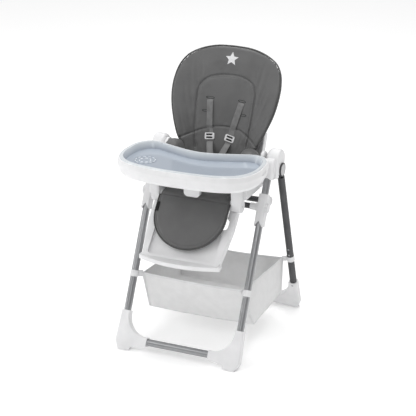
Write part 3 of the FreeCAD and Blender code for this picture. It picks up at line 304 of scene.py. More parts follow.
# %% [markdown]
# ## Leatherette, webbing and mesh cloth
# The cushions are covered in polyurethane leatherette: a vinyl skin embossed with cells about 1.5 mm across,
# with shallow valleys between them. Voronoi cells draw the emboss, and a broad noise adds the soft colour
# drift of a stretched cover. Webbing is woven with ribs 1.5 mm apart. The basket is a thin plain weave that
# lets some light through, so its inside isn't dark.

# %% Soft finishes
def leatherette(name, dark, light, low=0.42, high=0.56):
    material, shader = start_material(name, light, IOR=1.5, Sheen_Weight=0.12, Sheen_Roughness=0.5)
    place = add(material, "ShaderNodeTexCoord")
    cells = add(material, "ShaderNodeTexVoronoi", {"Scale": 1000.0 / 2.2}, {"Vector": place.outputs["Object"]},
                feature="DISTANCE_TO_EDGE")
    valleys = add(material, "ShaderNodeMapRange", {"From Max": 0.12}, {"Value": cells.outputs["Distance"]})
    pores = add(material, "ShaderNodeTexNoise", {"Scale": 1000.0 / 0.9, "Detail": 2.0},
                {"Vector": place.outputs["Object"]})
    both = add(material, "ShaderNodeMath", {1: 0.3}, {0: pores.outputs["Fac"], 2: valleys.outputs["Result"]},
               operation="MULTIPLY_ADD")
    emboss = add(material, "ShaderNodeBump", {"Strength": 0.28, "Distance": 0.12 * MM},
                 {"Height": both.outputs["Value"]})
    creases = add(material, "ShaderNodeTexNoise", {"Scale": 1000.0 / 38.0, "Detail": 5.0, "Distortion": 0.6},
                  {"Vector": place.outputs["Object"]})
    folds = add(material, "ShaderNodeBump", {"Strength": 0.16, "Distance": 1.2 * MM},
                {"Height": creases.outputs["Fac"], "Normal": emboss.outputs["Normal"]})
    material.node_tree.links.new(folds.outputs["Normal"], shader.inputs["Normal"])
    vary_colour(material, shader, vary_roughness(material, shader, place, 80, low, high), dark, light)
    return material


def woven(name, colour, dark, light, thread_mm, depth_mm, roughness=0.85):
    """Two crossed sets of threads from waves, one thread every thread_mm."""
    material, shader = start_material(name, colour, Roughness=roughness, Sheen_Weight=0.25)
    place = add(material, "ShaderNodeTexCoord")
    waves = []
    for axis in ("X", "Z"):
        wave = add(material, "ShaderNodeTexWave", {"Scale": 1000.0 / thread_mm / 20.0 * math.pi, "Distortion": 0.6,
                                                   "Detail": 1.0}, {"Vector": place.outputs["Object"]},
                   bands_direction=axis)
        waves.append(wave)
    cross = add(material, "ShaderNodeMath", links={0: waves[0].outputs["Fac"], 1: waves[1].outputs["Fac"]},
                operation="MAXIMUM")
    bump = add(material, "ShaderNodeBump", {"Strength": 0.4, "Distance": depth_mm * MM},
               {"Height": cross.outputs["Value"]})
    material.node_tree.links.new(bump.outputs["Normal"], shader.inputs["Normal"])
    cloud = add(material, "ShaderNodeTexNoise", {"Scale": 1000.0 / 30.0, "Detail": 6.0},
                {"Vector": place.outputs["Object"]})
    vary_colour(material, shader, cloud, dark, light)
    return material


cushion_cover = leatherette("grey_leatherette", "#565656", "#5f5f5f")
# A darker copy of the cover: painted shade for the shaded edge of the cushions' rims, used for the piping, the slit
# rings and the calf edge.
painted_shade_binding = leatherette("leatherette_binding_painted_shade", "#434343", "#4b4b4b", 0.4, 0.5)
grey_webbing = woven("ribbed_polyester_webbing", "#747474", "#6c6c6c", "#7c7c7c", 1.5, 0.3)
stitch_thread = woven("polyester_thread", "#7c7c7c", "#777777", "#828282", 0.6, 0.1)
# Near-black copy of the webbing for the folds inside the adjusters: painted shade, the strap itself is grey.
painted_shade_web = woven("polyester_webbing_painted_shade", "#262626", "#222222", "#2a2a2a", 1.5, 0.3)
basket_cloth = woven("basket_plain_weave", "#efefef", "#ededed", "#f2f2f2", 2.2, 0.25, 0.9)
through = add(basket_cloth, "ShaderNodeBsdfTranslucent", {"Color": linear("#e4e4e4")})
cloth_shader = basket_cloth.node_tree.nodes["Principled BSDF"]
both_ways = add(basket_cloth, "ShaderNodeMixShader", {0: 0.12}, {1: cloth_shader.outputs[0], 2: through.outputs[0]})
basket_cloth.node_tree.links.new(both_ways.outputs[0], basket_cloth.node_tree.nodes["Material Output"].inputs[0])
basket_binding_cloth = woven("basket_binding_tape", "#e3e3e4", "#dfdfe0", "#e8e8e9", 1.4, 0.2, 0.85)
dark_gap, shader = start_material("shadow_in_a_slit", "#161616", Roughness=0.9)
fine_bump(dark_gap, shader, 1.0, 0.1, 0.05)
print("soft finishes ready")

# %% [markdown]
# The CAD names a material slot for each piece. A table says which finish each slot gets. The fold buttons and
# the tray's blank plate share a slot with other pieces but have a tone of their own.

# %% Give every CAD node its finish
finish_of = {"leg_metal": lacquered_steel, "rear_leg_metal": powder_coat, "tube_dark": powder_coat,
             "steel": zinc_steel, "white_plastic": white_abs, "light_grey_plastic": grey_abs,
             "dark_plastic": black_abs, "tray_clear": clear_tray, "cushion": cushion_cover,
             "webbing": grey_webbing, "basket_fabric": basket_cloth, "rubber": rubber_finish}
for subpart in frame["record"]["subparts"]:
    node = frame["nodes"][subpart["node"]]
    node.data.materials.clear()
    finish = finish_of[subpart["material_slot"]]
    if subpart["node"].startswith("fold_button_") and "bezel" not in subpart["node"]:
        finish = button_abs
    if subpart["node"] == "tray_front_plate":
        finish = white_abs
    node.data.materials.append(finish)
print("finished", len(frame["nodes"]), "CAD nodes")

# %% [markdown]
# ## How a cushion is made
# A real cushion is a flat cover sewn round a piece of foam, so its faces crown and its edge is round. Three
# steps copy that. First a plain closed form is laid out in rings from its rim to its middle. Then its skin is
# remade in even cells and swells like a blown-up cover, held where it lies on its board. Last come the sewn
# lines, which pull the skin down to the board.

# %% Cushion tools
def smooth_line(points, count):
    """Even points along a Catmull-Rom line through the given ones."""
    points = np.array(points, float)
    padded = np.vstack([2 * points[0] - points[1], points, 2 * points[-1] - points[-2]])
    dense = []
    for i in range(1, len(padded) - 2):
        a, b, c, d = padded[i - 1:i + 3]
        for t in np.linspace(0, 1, 24, endpoint=False):
            dense.append(0.5 * (2 * b + (c - a) * t + (2 * a - 5 * b + 4 * c - d) * t ** 2
                                + (3 * b - a - 3 * c + d) * t ** 3))
    dense = np.array(dense + [points[-1]])
    run = np.concatenate([[0], np.cumsum(np.linalg.norm(np.diff(dense, axis=0), axis=1))])
    even = np.linspace(0, run[-1], count)
    return np.stack([np.interp(even, run, dense[:, k]) for k in range(dense.shape[1])], 1)


RING_SHARES = (1.0, 0.985, 0.96, 0.93, 0.89, 0.83, 0.75, 0.66, 0.56, 0.46, 0.36, 0.26, 0.16, 0.07)


def foam_form(name, outline, centre, front, back, place, rim, material):
    """A closed form: outline is (u, v) round the rim, front and back give heights, place gives the point."""
    outline, centre = np.array(outline, float), np.array(centre, float)
    count = len(outline)
    reach = np.linalg.norm(outline - centre, axis=1)
    points, faces = [], []
    for side in (1, -1):
        for share in RING_SHARES:
            if side < 0 and share == 1.0:
                continue
            for (u, v), r in zip(centre + (outline - centre) * share, reach):
                high, low = front(u, v), back(u, v)
                edge = min(1.0, (1 - share) * r / rim)
                lift = math.sqrt(1 - (1 - edge) ** 2)
                points.append(place(u, v, (high + low) / 2 + side * (high - low) / 2 * lift))
        points.append(place(*centre, front(*centre) if side > 0 else back(*centre)))
    rings = len(RING_SHARES)
    front_centre = rings * count
    back_start = front_centre + 1
    for j in range(count):
        k = (j + 1) % count
        for i in range(rings - 1):
            a, b = i * count, (i + 1) * count
            faces.append((a + j, a + k, b + k, b + j))
        faces.append(((rings - 1) * count + j, (rings - 1) * count + k, front_centre))
        previous = 0
        for i in range(rings - 1):
            now = back_start + i * count
            faces.append((previous + k, previous + j, now + j, now + k))
            previous = now
        faces.append((previous + k, previous + j, back_start + (rings - 1) * count))
    return mesh_piece(name, points, faces, material)


def coordinates(piece):
    flat = np.zeros(len(piece.data.vertices) * 3, np.float32)
    piece.data.vertices.foreach_get("co", flat)
    return flat.reshape(-1, 3).astype(float)


def set_coordinates(piece, points):
    piece.data.vertices.foreach_set("co", np.asarray(points, np.float32).ravel())
    piece.data.update()


def bake(piece):
    """Replaces the mesh with what its modifiers make of it."""
    graph = bpy.context.evaluated_depsgraph_get()
    made = bpy.data.meshes.new_from_object(piece.evaluated_get(graph))
    piece.modifiers.clear()
    piece.data = made
    made.polygons.foreach_set("use_smooth", [True] * len(made.polygons))


def swell(piece, cell_mm, pressure, most_mm, held):
    """Even cells, then a blown-up cover that is held where held(points) is true."""
    remesh = piece.modifiers.new("cells", "REMESH")
    remesh.mode, remesh.voxel_size = "VOXEL", cell_mm * MM
    bake(piece)
    before = coordinates(piece)
    pinned = piece.vertex_groups.new(name="held")
    pinned.add([int(i) for i in np.nonzero(held(before / MM))[0]], 1.0, "REPLACE")
    cloth = piece.modifiers.new("cover", "CLOTH")
    cloth.settings.quality = 5
    cloth.settings.mass = 0.3
    cloth.settings.tension_stiffness = cloth.settings.compression_stiffness = 15
    cloth.settings.bending_stiffness = 0.5
    cloth.settings.use_pressure = True
    cloth.settings.uniform_pressure_force = pressure
    cloth.settings.vertex_group_mass = "held"
    cloth.settings.effector_weights.gravity = 0
    cloth.point_cache.frame_end = 20
    for step in range(1, 21):
        scene.frame_set(step)
    bake(piece)
    scene.frame_set(1)
    moved = coordinates(piece) - before
    far = np.linalg.norm(moved, axis=1)
    moved *= np.minimum(1, most_mm * MM / np.maximum(far, 1e-9))[:, None]
    set_coordinates(piece, before + moved)
    print(piece.name, "swelled by up to", round(min(far.max() / MM, most_mm), 1), "mm")
    finer = piece.modifiers.new("finer", "SUBSURF")
    finer.levels = finer.render_levels = 1
    bake(piece)


def distance_to(line, points):
    """Distance of 2D points to a line of points, and how far along the line that is."""
    best, along = np.full(len(points), 1e9), np.zeros(len(points))
    run = 0.0
    for a, b in zip(line, line[1:]):
        step = b - a
        length = np.linalg.norm(step)
        t = np.clip((points - a) @ step / max(length, 1e-9) ** 2, 0, 1)
        d = np.linalg.norm(points - a - t[:, None] * step, axis=1)
        near = d < best
        best[near], along[near] = d[near], (run + t * length)[near]
        run += length
    return best, along


def soft_tube(name, line, radius, material, closed=False, sides=10):
    """A round binding that follows points in millimetres."""
    line = [Vector(p) for p in line]
    count = len(line)
    points, faces = [], []
    up = Vector((0, 0, 1))
    for i, point in enumerate(line):
        ahead = line[(i + 1) % count] if closed or i < count - 1 else point
        behind = line[i - 1] if closed or i > 0 else point
        along = (ahead - behind).normalized()
        across = along.cross(up) if abs(along.dot(up)) < 0.95 else along.cross(Vector((0, 1, 0)))
        across.normalize()
        other = along.cross(across)
        for k in range(sides):
            angle = 2 * math.pi * k / sides
            points.append(point + across * radius * math.cos(angle) + other * radius * math.sin(angle))
    for i in range(count if closed else count - 1):
        for k in range(sides):
            a, b = i * sides, (i + 1) % count * sides
            faces.append((a + k, a + (k + 1) % sides, b + (k + 1) % sides, b + k))
    if not closed:
        faces += [tuple(range(sides)), tuple(range((count - 1) * sides, count * sides))]
    return mesh_piece(name, points, faces, material)


print("cushion tools ready")

# %% [markdown]
# ## Backrest cushion
# The back is a tall shield that is widest near the child's head. Its wings curve forward on both sides and
# its middle is a raised panel inside a sewn line, with a second line across it low down. It is laid out along
# the back: across, up the back, and out of its front.

# %% Backrest form
BACK_TILT = math.radians(18.26)
BACK_Y, BACK_Z = 135.8, 640                              # the lower end of the back's board


def on_back(across, up, out):
    return Vector((across, BACK_Y + up * math.sin(BACK_TILT) - out * math.cos(BACK_TILT),
                   BACK_Z + up * math.cos(BACK_TILT) + out * math.sin(BACK_TILT)))


def back_coordinates(points):
    """The way back from points in millimetres to across, up and out."""
    y, z = points[:, 1] - BACK_Y, points[:, 2] - BACK_Z
    return np.stack([points[:, 0], y * math.sin(BACK_TILT) + z * math.cos(BACK_TILT),
                     -y * math.cos(BACK_TILT) + z * math.sin(BACK_TILT)], 1)


# up the back, half-width, how far forward the wing's edge lies
wing_table = np.array([(-14, 137, 76), (53, 143, 90), (81, 157, 97), (108, 172, 102), (158, 192, 101),
                       (217, 211, 94), (268, 220, 88), (313, 222, 79), (350, 218, 66), (380, 210, 52),
                       (408, 194, 42), (429, 172, 36), (452, 127, 35), (467, 69, 35), (471, 0, 35)], float)
WING_BASE = 35              # the wing's edge where it doesn't curve forward
THICK_WING = 30.0
FOAM = 31.5                 # before it swells


def wing_front(across, up):
    half = max(np.interp(up, wing_table[:, 0], wing_table[:, 1]), 60.0)
    forward = np.interp(up, wing_table[:, 0], wing_table[:, 2]) - WING_BASE
    return FOAM + forward * min(1.0, abs(across) / half) ** 2.6


def wing_back(across, up):
    cup = np.interp(up, (-75, 541), (380, 760))
    shell = cup - math.sqrt(max(cup ** 2 - across ** 2, 0))
    return max(shell + 0.5, wing_front(across, up) - THICK_WING - 1)


right_edge = smooth_line([(w, s) for s, w, _ in wing_table], 90)
bottom_edge = [(x, -14.0) for x in np.linspace(-139, 139, 40)[1:-1]]
back_outline = [tuple(p) for p in right_edge] + [(-x, s) for x, s in right_edge[::-1][1:]] + bottom_edge
backrest_cushion = foam_form("backrest_cushion", back_outline, (0, 235), wing_front, wing_back,
                             on_back, 17.0, cushion_cover)
back_rim = np.array(back_outline + back_outline[:1])


def held_back(points):
    """Where the cover is tacked to its board: its flat back and its sewn rim."""
    flat = back_coordinates(points)
    return (flat[:, 2] < 5) | (distance_to(back_rim, flat[:, :2])[0] < 14)


swell(backrest_cushion, 5.0, 4.0, 5.0, held_back)
print("backrest cushion has", len(backrest_cushion.data.vertices), "points")

# %% [markdown]
# A sewn line is a narrow groove with a soft ridge beside it, and the cloth puckers along it. The panel inside
# its line stands a few millimetres proud.

# %% Sewn lines of the backrest
panel_line = smooth_line([(-103, 61), (-114, 122), (-121, 219), (-122, 287), (-108, 322), (-78, 345), (-29, 357),
                          (28, 359), (70, 350), (102, 330), (116, 300), (118, 246), (117, 190), (114, 125),
                          (110, 61)], 120)
cross_line = smooth_line([(-163, 90), (-112, 122), (-69, 141), (-26, 153), (27, 156), (73, 148), (114, 126),
                          (160, 96)], 80)
local = back_coordinates(coordinates(backrest_cushion) / MM)
to_panel, _ = distance_to(panel_line, local[:, :2])
to_cross, along_cross = distance_to(cross_line, local[:, :2])
facing = np.clip((local[:, 2] - 22) / 10, 0, 1)
ring = np.vstack([panel_line, [(110, -60), (-103, -60)]])
inside = np.zeros(len(local), bool)
for (xa, sa), (xb, sb) in zip(ring, np.roll(ring, -1, axis=0)):
    crosses = (sa > local[:, 1]) != (sb > local[:, 1])
    inside ^= crosses & (local[:, 0] < xa + (local[:, 1] - sa) / (sb - sa + 1e-12) * (xb - xa))
raised = np.where(inside, 4.5 * (1 - np.exp(-to_panel / 9.0)), 0.0)
groove = 4.6 * np.exp(-(to_panel / 3.4) ** 2) + 1.3 * np.exp(-((to_panel - 9.0) / 2.2) ** 2) * inside \
    + 3.6 * np.exp(-(to_cross / 3.6) ** 2)
puckers = np.array([noise.noise(Vector((x * 0.05, s * 0.05, 3.0))) for x, s in local[:, :2]])
near_seam = np.exp(-(np.minimum(to_panel, to_cross) / 22.0) ** 2)
local[:, 2] += facing * (raised - groove + 1.6 * puckers * near_seam)
set_coordinates(backrest_cushion, [on_back(*p) * MM for p in local])
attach(backrest_cushion, "backrest")
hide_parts("backrest_pad")
print("deepest seam", round(float(groove.max()), 1), "mm")

# %% [markdown]
# Everything sewn or laid on the cushion has to follow its finished skin. A ray from in front of the back
# finds the skin's height at any place.

# %% Height of the skin, piping and stitches
skin = BVHTree.FromObject(backrest_cushion, bpy.context.evaluated_depsgraph_get())
out_of_back = (on_back(0, 0, 1) - on_back(0, 0, 0)).normalized()


RAY_START = 160             # well in front of the wings


def skin_height(across, up):
    """How far out of its board the finished cushion stands; off its edge, the rim's own height."""
    start = on_back(across, up, RAY_START) * MM
    hit = skin.ray_cast(start, -out_of_back)
    return RAY_START - hit[3] / MM if hit[0] is not None else 35.0


def rim_point(across, up):
    """A point on the cushion's rounded rim, halfway through its thickness."""
    return on_back(across * 1.006, 235 + (up - 235) * 1.006, (wing_front(across, up) + wing_back(across, up)) / 2)


# The piping's darker leatherette is painted shade along the rim.
backrest_piping = soft_tube("backrest_piping", [rim_point(*p) for p in back_outline[::2]], 3.2,
                            painted_shade_binding, True)
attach(backrest_piping, "backrest")


def stitch_row(name, line, spacing, length, body):
    """Short raised stitches along a line on the back."""
    points, faces = [], []
    run = np.concatenate([[0], np.cumsum(np.linalg.norm(np.diff(line, axis=0), axis=1))])
    for at in np.arange(spacing, run[-1] - spacing, spacing):
        ends = [np.array([np.interp(at + d, run, line[:, k]) for k in (0, 1)]) for d in (-length / 2, length / 2)]
        a, b = (on_back(p[0], p[1], skin_height(*p) + 0.2) for p in ends)
        along = (b - a).normalized()
        side = along.cross(out_of_back).normalized() * 0.55
        start = len(points)
        for share, wide, lift in ((0.0, 0.2, 0.0), (0.3, 1.0, 0.5), (0.7, 1.0, 0.5), (1.0, 0.2, 0.0)):
            middle = a.lerp(b, share)
            points += [middle - side * wide, middle + out_of_back * lift, middle + side * wide]
        for i in range(3):
            k = start + 3 * i
            faces += [(k, k + 1, k + 4, k + 3), (k + 1, k + 2, k + 5, k + 4)]
    piece = mesh_piece(name, points, faces, stitch_thread)
    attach(piece, body)
    return piece


inner_line = np.array([(x * (1 - 7.0 / 120), 190 + (s - 190) * (1 - 7.0 / 170)) for x, s in panel_line])
stitch_row("panel_stitches", inner_line, 5.5, 3.6, "backrest")
low_line = np.array([(x, s - 7.0) for x, s in cross_line])
stitch_row("cross_stitches", low_line, 5.5, 3.6, "backrest")


def squared(share, power=0.72):
    """A circle's cosine or sine, pushed towards the corners of a square."""
    return math.copysign(abs(share) ** power, share)


def slit(name, across, up, turn, length, body="backrest"):
    """The dark mouth of a harness slot: a flat ring of binding round a gap."""
    points, faces, count = [], [], 28
    c, s = math.cos(turn), math.sin(turn)
    for share, lift in ((1.0, -0.6), (0.86, 0.7), (0.62, 0.5), (0.5, -0.9)):
        for k in range(count):
            angle = 2 * math.pi * k / count
            x = squared(math.cos(angle), 0.6) * (length / 2 + 3) * (0.5 + share / 2)
            y = math.sin(angle) * 5.0 * share
            px, py = across + x * c - y * s, up + x * s + y * c
            points.append(on_back(px, py, skin_height(px, py) + lift))
    for i in range(3):
        for k in range(count):
            faces.append((i * count + k, i * count + (k + 1) % count, (i + 1) * count + (k + 1) % count,
                          (i + 1) * count + k))
    faces.append(tuple(range(3 * count, 4 * count)))
    piece = mesh_piece(name, points, faces, painted_shade_binding)
    piece.data.materials.append(dark_gap)
    for face in piece.data.polygons:
        face.material_index = 1 if face.index >= count else 0
    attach(piece, body)
    return piece


for side, sign in (("left", -1), ("right", 1)):
    slit("harness_slit_high_" + side, sign * 67, 262, 0.0 if sign < 0 else -0.1, 30)
    slit("harness_slit_low_" + side, sign * 78, 209, 0.0, 26)
print("skin is", round(skin_height(0, 200), 1), "mm out at the middle of the panel")

# %% [markdown]
# ## Emblem
# A plain star in satin plastic stands high on the back. It is cut from sheet and its edge is rounded, so it
# catches a thin line of light.

# %% Star emblem
STAR_UP = 421
STAR_OUTER, STAR_INNER = 28.0, 13.0
star_points, star_faces = [], []
for level, grow, lift in ((0, 1.0, -0.6), (1, 1.0, 1.2), (2, 0.93, 1.9)):
    for k in range(10):
        radius = (STAR_OUTER if k % 2 == 0 else STAR_INNER) * grow
        angle = math.radians(90 + 36 * k)
        x, s = radius * math.cos(angle), STAR_UP + radius * math.sin(angle)
        star_points.append(on_back(x, s, skin_height(x, s) + lift))
star_points.append(on_back(0, STAR_UP, skin_height(0, STAR_UP) + 2.1))
for k in range(10):
    j = (k + 1) % 10
    star_faces += [(k, j, 10 + j, 10 + k), (10 + k, 10 + j, 20 + j, 20 + k), (20 + k, 20 + j, 30)]
star_emblem = mesh_piece("star_emblem", star_points, star_faces, grey_abs, False)
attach(star_emblem, "backrest")
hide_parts("backrest_emblem")
print("star emblem", len(star_faces), "faces")

# %% [markdown]
# ## Seat and calf cushion
# One long cover runs from the back of the seat to its front edge, bends down over it and hangs over the
# footrest as a half oval. It is laid out along the line of its upper face.

# %% Seat and calf form
cover_line = smooth_line([(90, 619), (40, 619.5), (-60, 619.5), (-103, 618), (-122, 611.5), (-134, 602),
                          (-151, 581), (-208, 511), (-265, 441)], 220)
cover_run = np.concatenate([[0], np.cumsum(np.linalg.norm(np.diff(cover_line, axis=0), axis=1))])
cover_steps = np.gradient(cover_line, axis=0)
cover_steps /= np.linalg.norm(cover_steps, axis=1)[:, None]
cover_length = cover_run[-1]
CALF_STRAIGHT = cover_length - 138.0


def on_cover(across, along, out):
    """Out of the upper face; the line runs forward and down, so out is its step turned by a quarter."""
    y, z, dy, dz = (np.interp(along, cover_run, column) for column in (*cover_line.T, *cover_steps.T))
    return Vector((across, y + dz * out, z - dy * out))


def cover_coordinates(points):
    spots = points[:, None, 1:] - cover_line[None]
    nearest = np.argmin((spots ** 2).sum(2), axis=1)
    found = spots[np.arange(len(points)), nearest]
    step = cover_steps[nearest]
    return np.stack([points[:, 0], cover_run[nearest] + (found * step).sum(1),
                     found[:, 0] * step[:, 1] - found[:, 1] * step[:, 0]], 1)


calf_arc = [(146 * math.cos(a), CALF_STRAIGHT + 138 * math.sin(a)) for a in np.linspace(0, math.pi, 60)]
flare_right = [(142, 215), (145, 232), (146, 250)]      # the cover widens from the seat to the calf
flare_left = [(-x, v) for x, v in flare_right[::-1]]
cover_outline = [(139, v) for v in np.linspace(8, 200, 30)] + flare_right + calf_arc + flare_left \
    + [(-139, v) for v in np.linspace(200, 8, 30)] + [(-x, 0) for x in np.linspace(-134, 134, 34)][::-1]


def cover_front(across, along):
    crown = 2.0 * (1 - (across / 150) ** 2)
    return crown - 2.0 * math.exp(-((along - 232) / 12.0) ** 2)


def cover_back(across, along):
    return -float(np.interp(along, (0, 195, 225, 250, 500), (38, 38, 25, 21, 21)))


seat_cushion = foam_form("seat_and_calf_cushion", cover_outline, (0, 205), cover_front, cover_back, on_cover, 12.0,
                         cushion_cover)
cover_rim = np.array(cover_outline + cover_outline[:1])
swell(seat_cushion, 5.0, 3.5, 4.0, lambda p: (cover_coordinates(p)[:, 2] < -12) | (
    distance_to(cover_rim, cover_coordinates(p)[:, :2])[0] < 12))

local = cover_coordinates(coordinates(seat_cushion) / MM)
rim = np.array(cover_outline[20:-60])
to_rim, _ = distance_to(np.array([(x * 0.925, v if v < 260 else 205 + (v - 205) * 0.953) for x, v in rim]),
                        local[:, :2])
upper = np.clip((local[:, 2] + 10) / 8, 0, 1)
sink = 1.8 * np.exp(-(to_rim / 2.6) ** 2) + 2.2 * np.exp(-((local[:, 1] - 231) / 4.0) ** 2)
local[:, 2] -= upper * sink
set_coordinates(seat_cushion, [on_cover(*p) * MM for p in local])
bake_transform(seat_cushion)
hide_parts("seat_pad", "calf_pad")
print("cover is", round(cover_length), "mm long")

# %% [markdown]
# The free edge over the footrest is bound with a round piping, and a short black tab is sewn into its left side;
# it is coloured with the slits' painted-shadow tone, so painted shade darkens its own black.

# %% Calf binding and tab
calf_rim = flare_right[1:] + calf_arc + flare_left[:-1]
calf_piping = soft_tube("calf_piping", [on_cover(x * 1.004, v, (cover_front(x, v) + cover_back(x, v)) / 2 + 4)
                                        for x, v in calf_rim], 3.0, painted_shade_binding)
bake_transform(calf_piping)

tab_points, tab_faces = [], []
for k, v in enumerate(np.linspace(266, 303, 9)):
    bow = 1.6 * math.sin(math.pi * k / 8)
    for x, h in ((-132, 2.6), (-144 - bow, 0.6), (-144 - bow, -1.6), (-132, 1.0)):
        tab_points.append(on_cover(x, v, h))
for k in range(8):
    for j in range(4):
        a, b = 4 * k, 4 * k + 4
        tab_faces.append((a + j, a + (j + 1) % 4, b + (j + 1) % 4, b + j))
tab_faces += [(0, 1, 2, 3), (32, 33, 34, 35)]
# The tab takes the slits' painted-shadow colour, darker than its own black: painted shade.
pull_tab = mesh_piece("calf_side_tab", tab_points, tab_faces, dark_gap, False)
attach(pull_tab, "footrest")
print("calf binding and tab made")

# %% [markdown]
# ## Cheek cushions
# A small upright cushion pads the inside of each arm. It is a rounded block of foam in the same cover, drawn
# as an arch seen from the front and then given its length.

# %% Cheek cushions
CHEEK_X, CHEEK_Z = 158, 690
CHEEK_FRONT, CHEEK_REAR = -14.0, 68.0
cheek_outline = [(CHEEK_X + 40 * squared(math.cos(a)),
                  CHEEK_Z + (75 if math.sin(a) > 0 else 72) * squared(math.sin(a)))
                 for a in np.linspace(0, 2 * math.pi, 72, endpoint=False)]
for side, sign in (("left", -1), ("right", 1)):
    cheek = foam_form("cheek_cushion_" + side, cheek_outline, (CHEEK_X + 3, CHEEK_Z), lambda u, v: CHEEK_FRONT,
                      lambda u, v: CHEEK_REAR, lambda u, v, h, sign=sign: Vector((sign * u, h, v)), 24.0,
                      cushion_cover)
    swell(cheek, 4.5, 4.0, 2.0, lambda p: (p[:, 2] < 625) | (np.abs(p[:, 0]) > 190))
    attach(cheek, "carriage")
    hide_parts("side_bolster_" + side)
print("cheek cushions made")

# %% [markdown]
# ## Harness webbing
# Webbing is a flat woven tape with ribs along it. It is drawn as a strip with a ribbed cross-section that
# follows a line, so its edge and its ribs are real shape.

# %% Webbing tools and straps
def tape(name, line, wide_ways, width, thick, material, ribs=4):
    """A ribbed tape; wide_ways is the width's direction at each point, or one for all."""
    line = [Vector(p) for p in line]
    if isinstance(wide_ways, Vector):
        wide_ways = [wide_ways] * len(line)
    profile = []
    steps = ribs * 4
    for k in range(steps + 1):
        u = k / steps - 0.5
        rib = 0.22 * math.cos(2 * math.pi * ribs * u) * (1 if 0 < k < steps else 0)
        edge = 1 - (2 * abs(u)) ** 6 * 0.6
        profile.append((u * width, thick / 2 * edge + rib * thick * 0.5))
    profile += [(u, -h) for u, h in reversed(profile)]
    points, faces, size = [], [], len(profile)
    for i, point in enumerate(line):
        along = (line[min(i + 1, len(line) - 1)] - line[max(i - 1, 0)]).normalized()
        wide = (wide_ways[i] - along * wide_ways[i].dot(along)).normalized()
        flat = along.cross(wide)
        points += [point + wide * u + flat * h for u, h in profile]
    for i in range(len(line) - 1):
        for k in range(size):
            a, b = i * size, (i + 1) * size
            faces.append((a + k, a + (k + 1) % size, b + (k + 1) % size, b + k))
    faces += [tuple(range(size)), tuple(range(len(points) - size, len(points)))]
    return mesh_piece(name, points, faces, material)


STRAP_ENDS = {"left": (-67, -44), "right": (67, 24)}    # across, at the slot and near the lap
STRAP_TOP, STRAP_LOW = 259, 62                          # up the back, at the same two places
STRAP_OUT = 43                                          # where the strap hangs free of the cushion
STRAP_SLACK = 5.0


def strap_line(side):
    """Out of the slot, down the cushion, through the adjuster and on to the buckle."""
    top, low = STRAP_ENDS[side]
    rows = []
    for up in np.linspace(257, 130, 18):
        share = (STRAP_TOP - up) / (STRAP_TOP - STRAP_LOW)
        across = top + (low - top) * share
        rise = min(1.0, (STRAP_TOP - up) / 45)
        lying = skin_height(across, up) + 2.2
        lifted = max(lying, STRAP_OUT * share ** 0.4 * rise + lying * (1 - rise))
        bow = STRAP_SLACK * math.sin(math.pi * share) * rise * 0.5
        rows.append((across, up, lifted + bow if up > 150 else STRAP_OUT))
    rows[0] = (top, 258, skin_height(top, 258) - 3)
    for up in (122, 112, 102, 92):
        rows.append((top + (low - top) * (STRAP_TOP - up) / (STRAP_TOP - STRAP_LOW), up, STRAP_OUT))
    line = [on_back(*row) for row in rows]
    finish = Vector((10 if side == "right" else -10, 66, 672))
    last = line[-1]
    line += [last.lerp(finish, t) + Vector((0, -12 * math.sin(math.pi * t), 0)) for t in (0.25, 0.5, 0.75, 1.0)]
    return smooth_line([tuple(p) for p in line], 70)


for side in ("left", "right"):
    strap = tape("shoulder_webbing_" + side, strap_line(side), Vector((1, 0, 0)), 25, 1.9, grey_webbing)
    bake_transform(strap)
    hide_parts("shoulder_strap_" + side)

crotch = smooth_line([(0, -5, 600), (0, -5, 618), (0, 0, 633), (0, 18, 640), (0, 40, 637), (0, 50, 634)], 40)
crotch_strap = tape("crotch_webbing", crotch, Vector((1, 0, 0)), 25, 1.9, grey_webbing)
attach(crotch_strap, "carriage")
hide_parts("lap_straps")
for side, sign in (("left", -1), ("right", 1)):
    waist = smooth_line([(sign * 22, 60, 651), (sign * 45, 54, 648), (sign * 75, 56, 640), (sign * 104, 66, 630),
                         (sign * 120, 78, 622)], 40)
    waist_strap = tape("waist_webbing_" + side, waist, Vector((0, -0.2, 1)), 25, 1.9, grey_webbing)
    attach(waist_strap, "carriage")
print("harness webbing made")

# %% [markdown]
# Each adjuster is a three-bar slide. The web shows as two short folds between its bars, coloured near-black as
# painted shade; the strap itself is grey.

# %% Webbing inside the adjusters
for side in ("left", "right"):
    adjuster = frame["nodes"]["strap_adjuster_" + side]
    corners_in = [adjuster.matrix_world @ vertex.co for vertex in adjuster.data.vertices]
    middle = sum(corners_in, Vector()) / len(corners_in) / MM
    top, low = STRAP_ENDS[side]
    down = (on_back(low, STRAP_LOW, STRAP_OUT) - on_back(top, STRAP_TOP, STRAP_OUT)).normalized()
    across = down.cross(out_of_back).normalized()
    for name, shift in (("upper", -5.6), ("lower", 5.6)):
        start = middle + down * (shift - 3.4) + out_of_back * 3.4
        row = [start + down * 6.8 * t + out_of_back * 0.9 * math.sin(math.pi * t) for t in np.linspace(0, 1, 9)]
        fold = tape("adjuster_web_" + name + "_" + side, row, across, 25.5, 1.4, painted_shade_web)
        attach(fold, "backrest")
print("adjusters threaded")
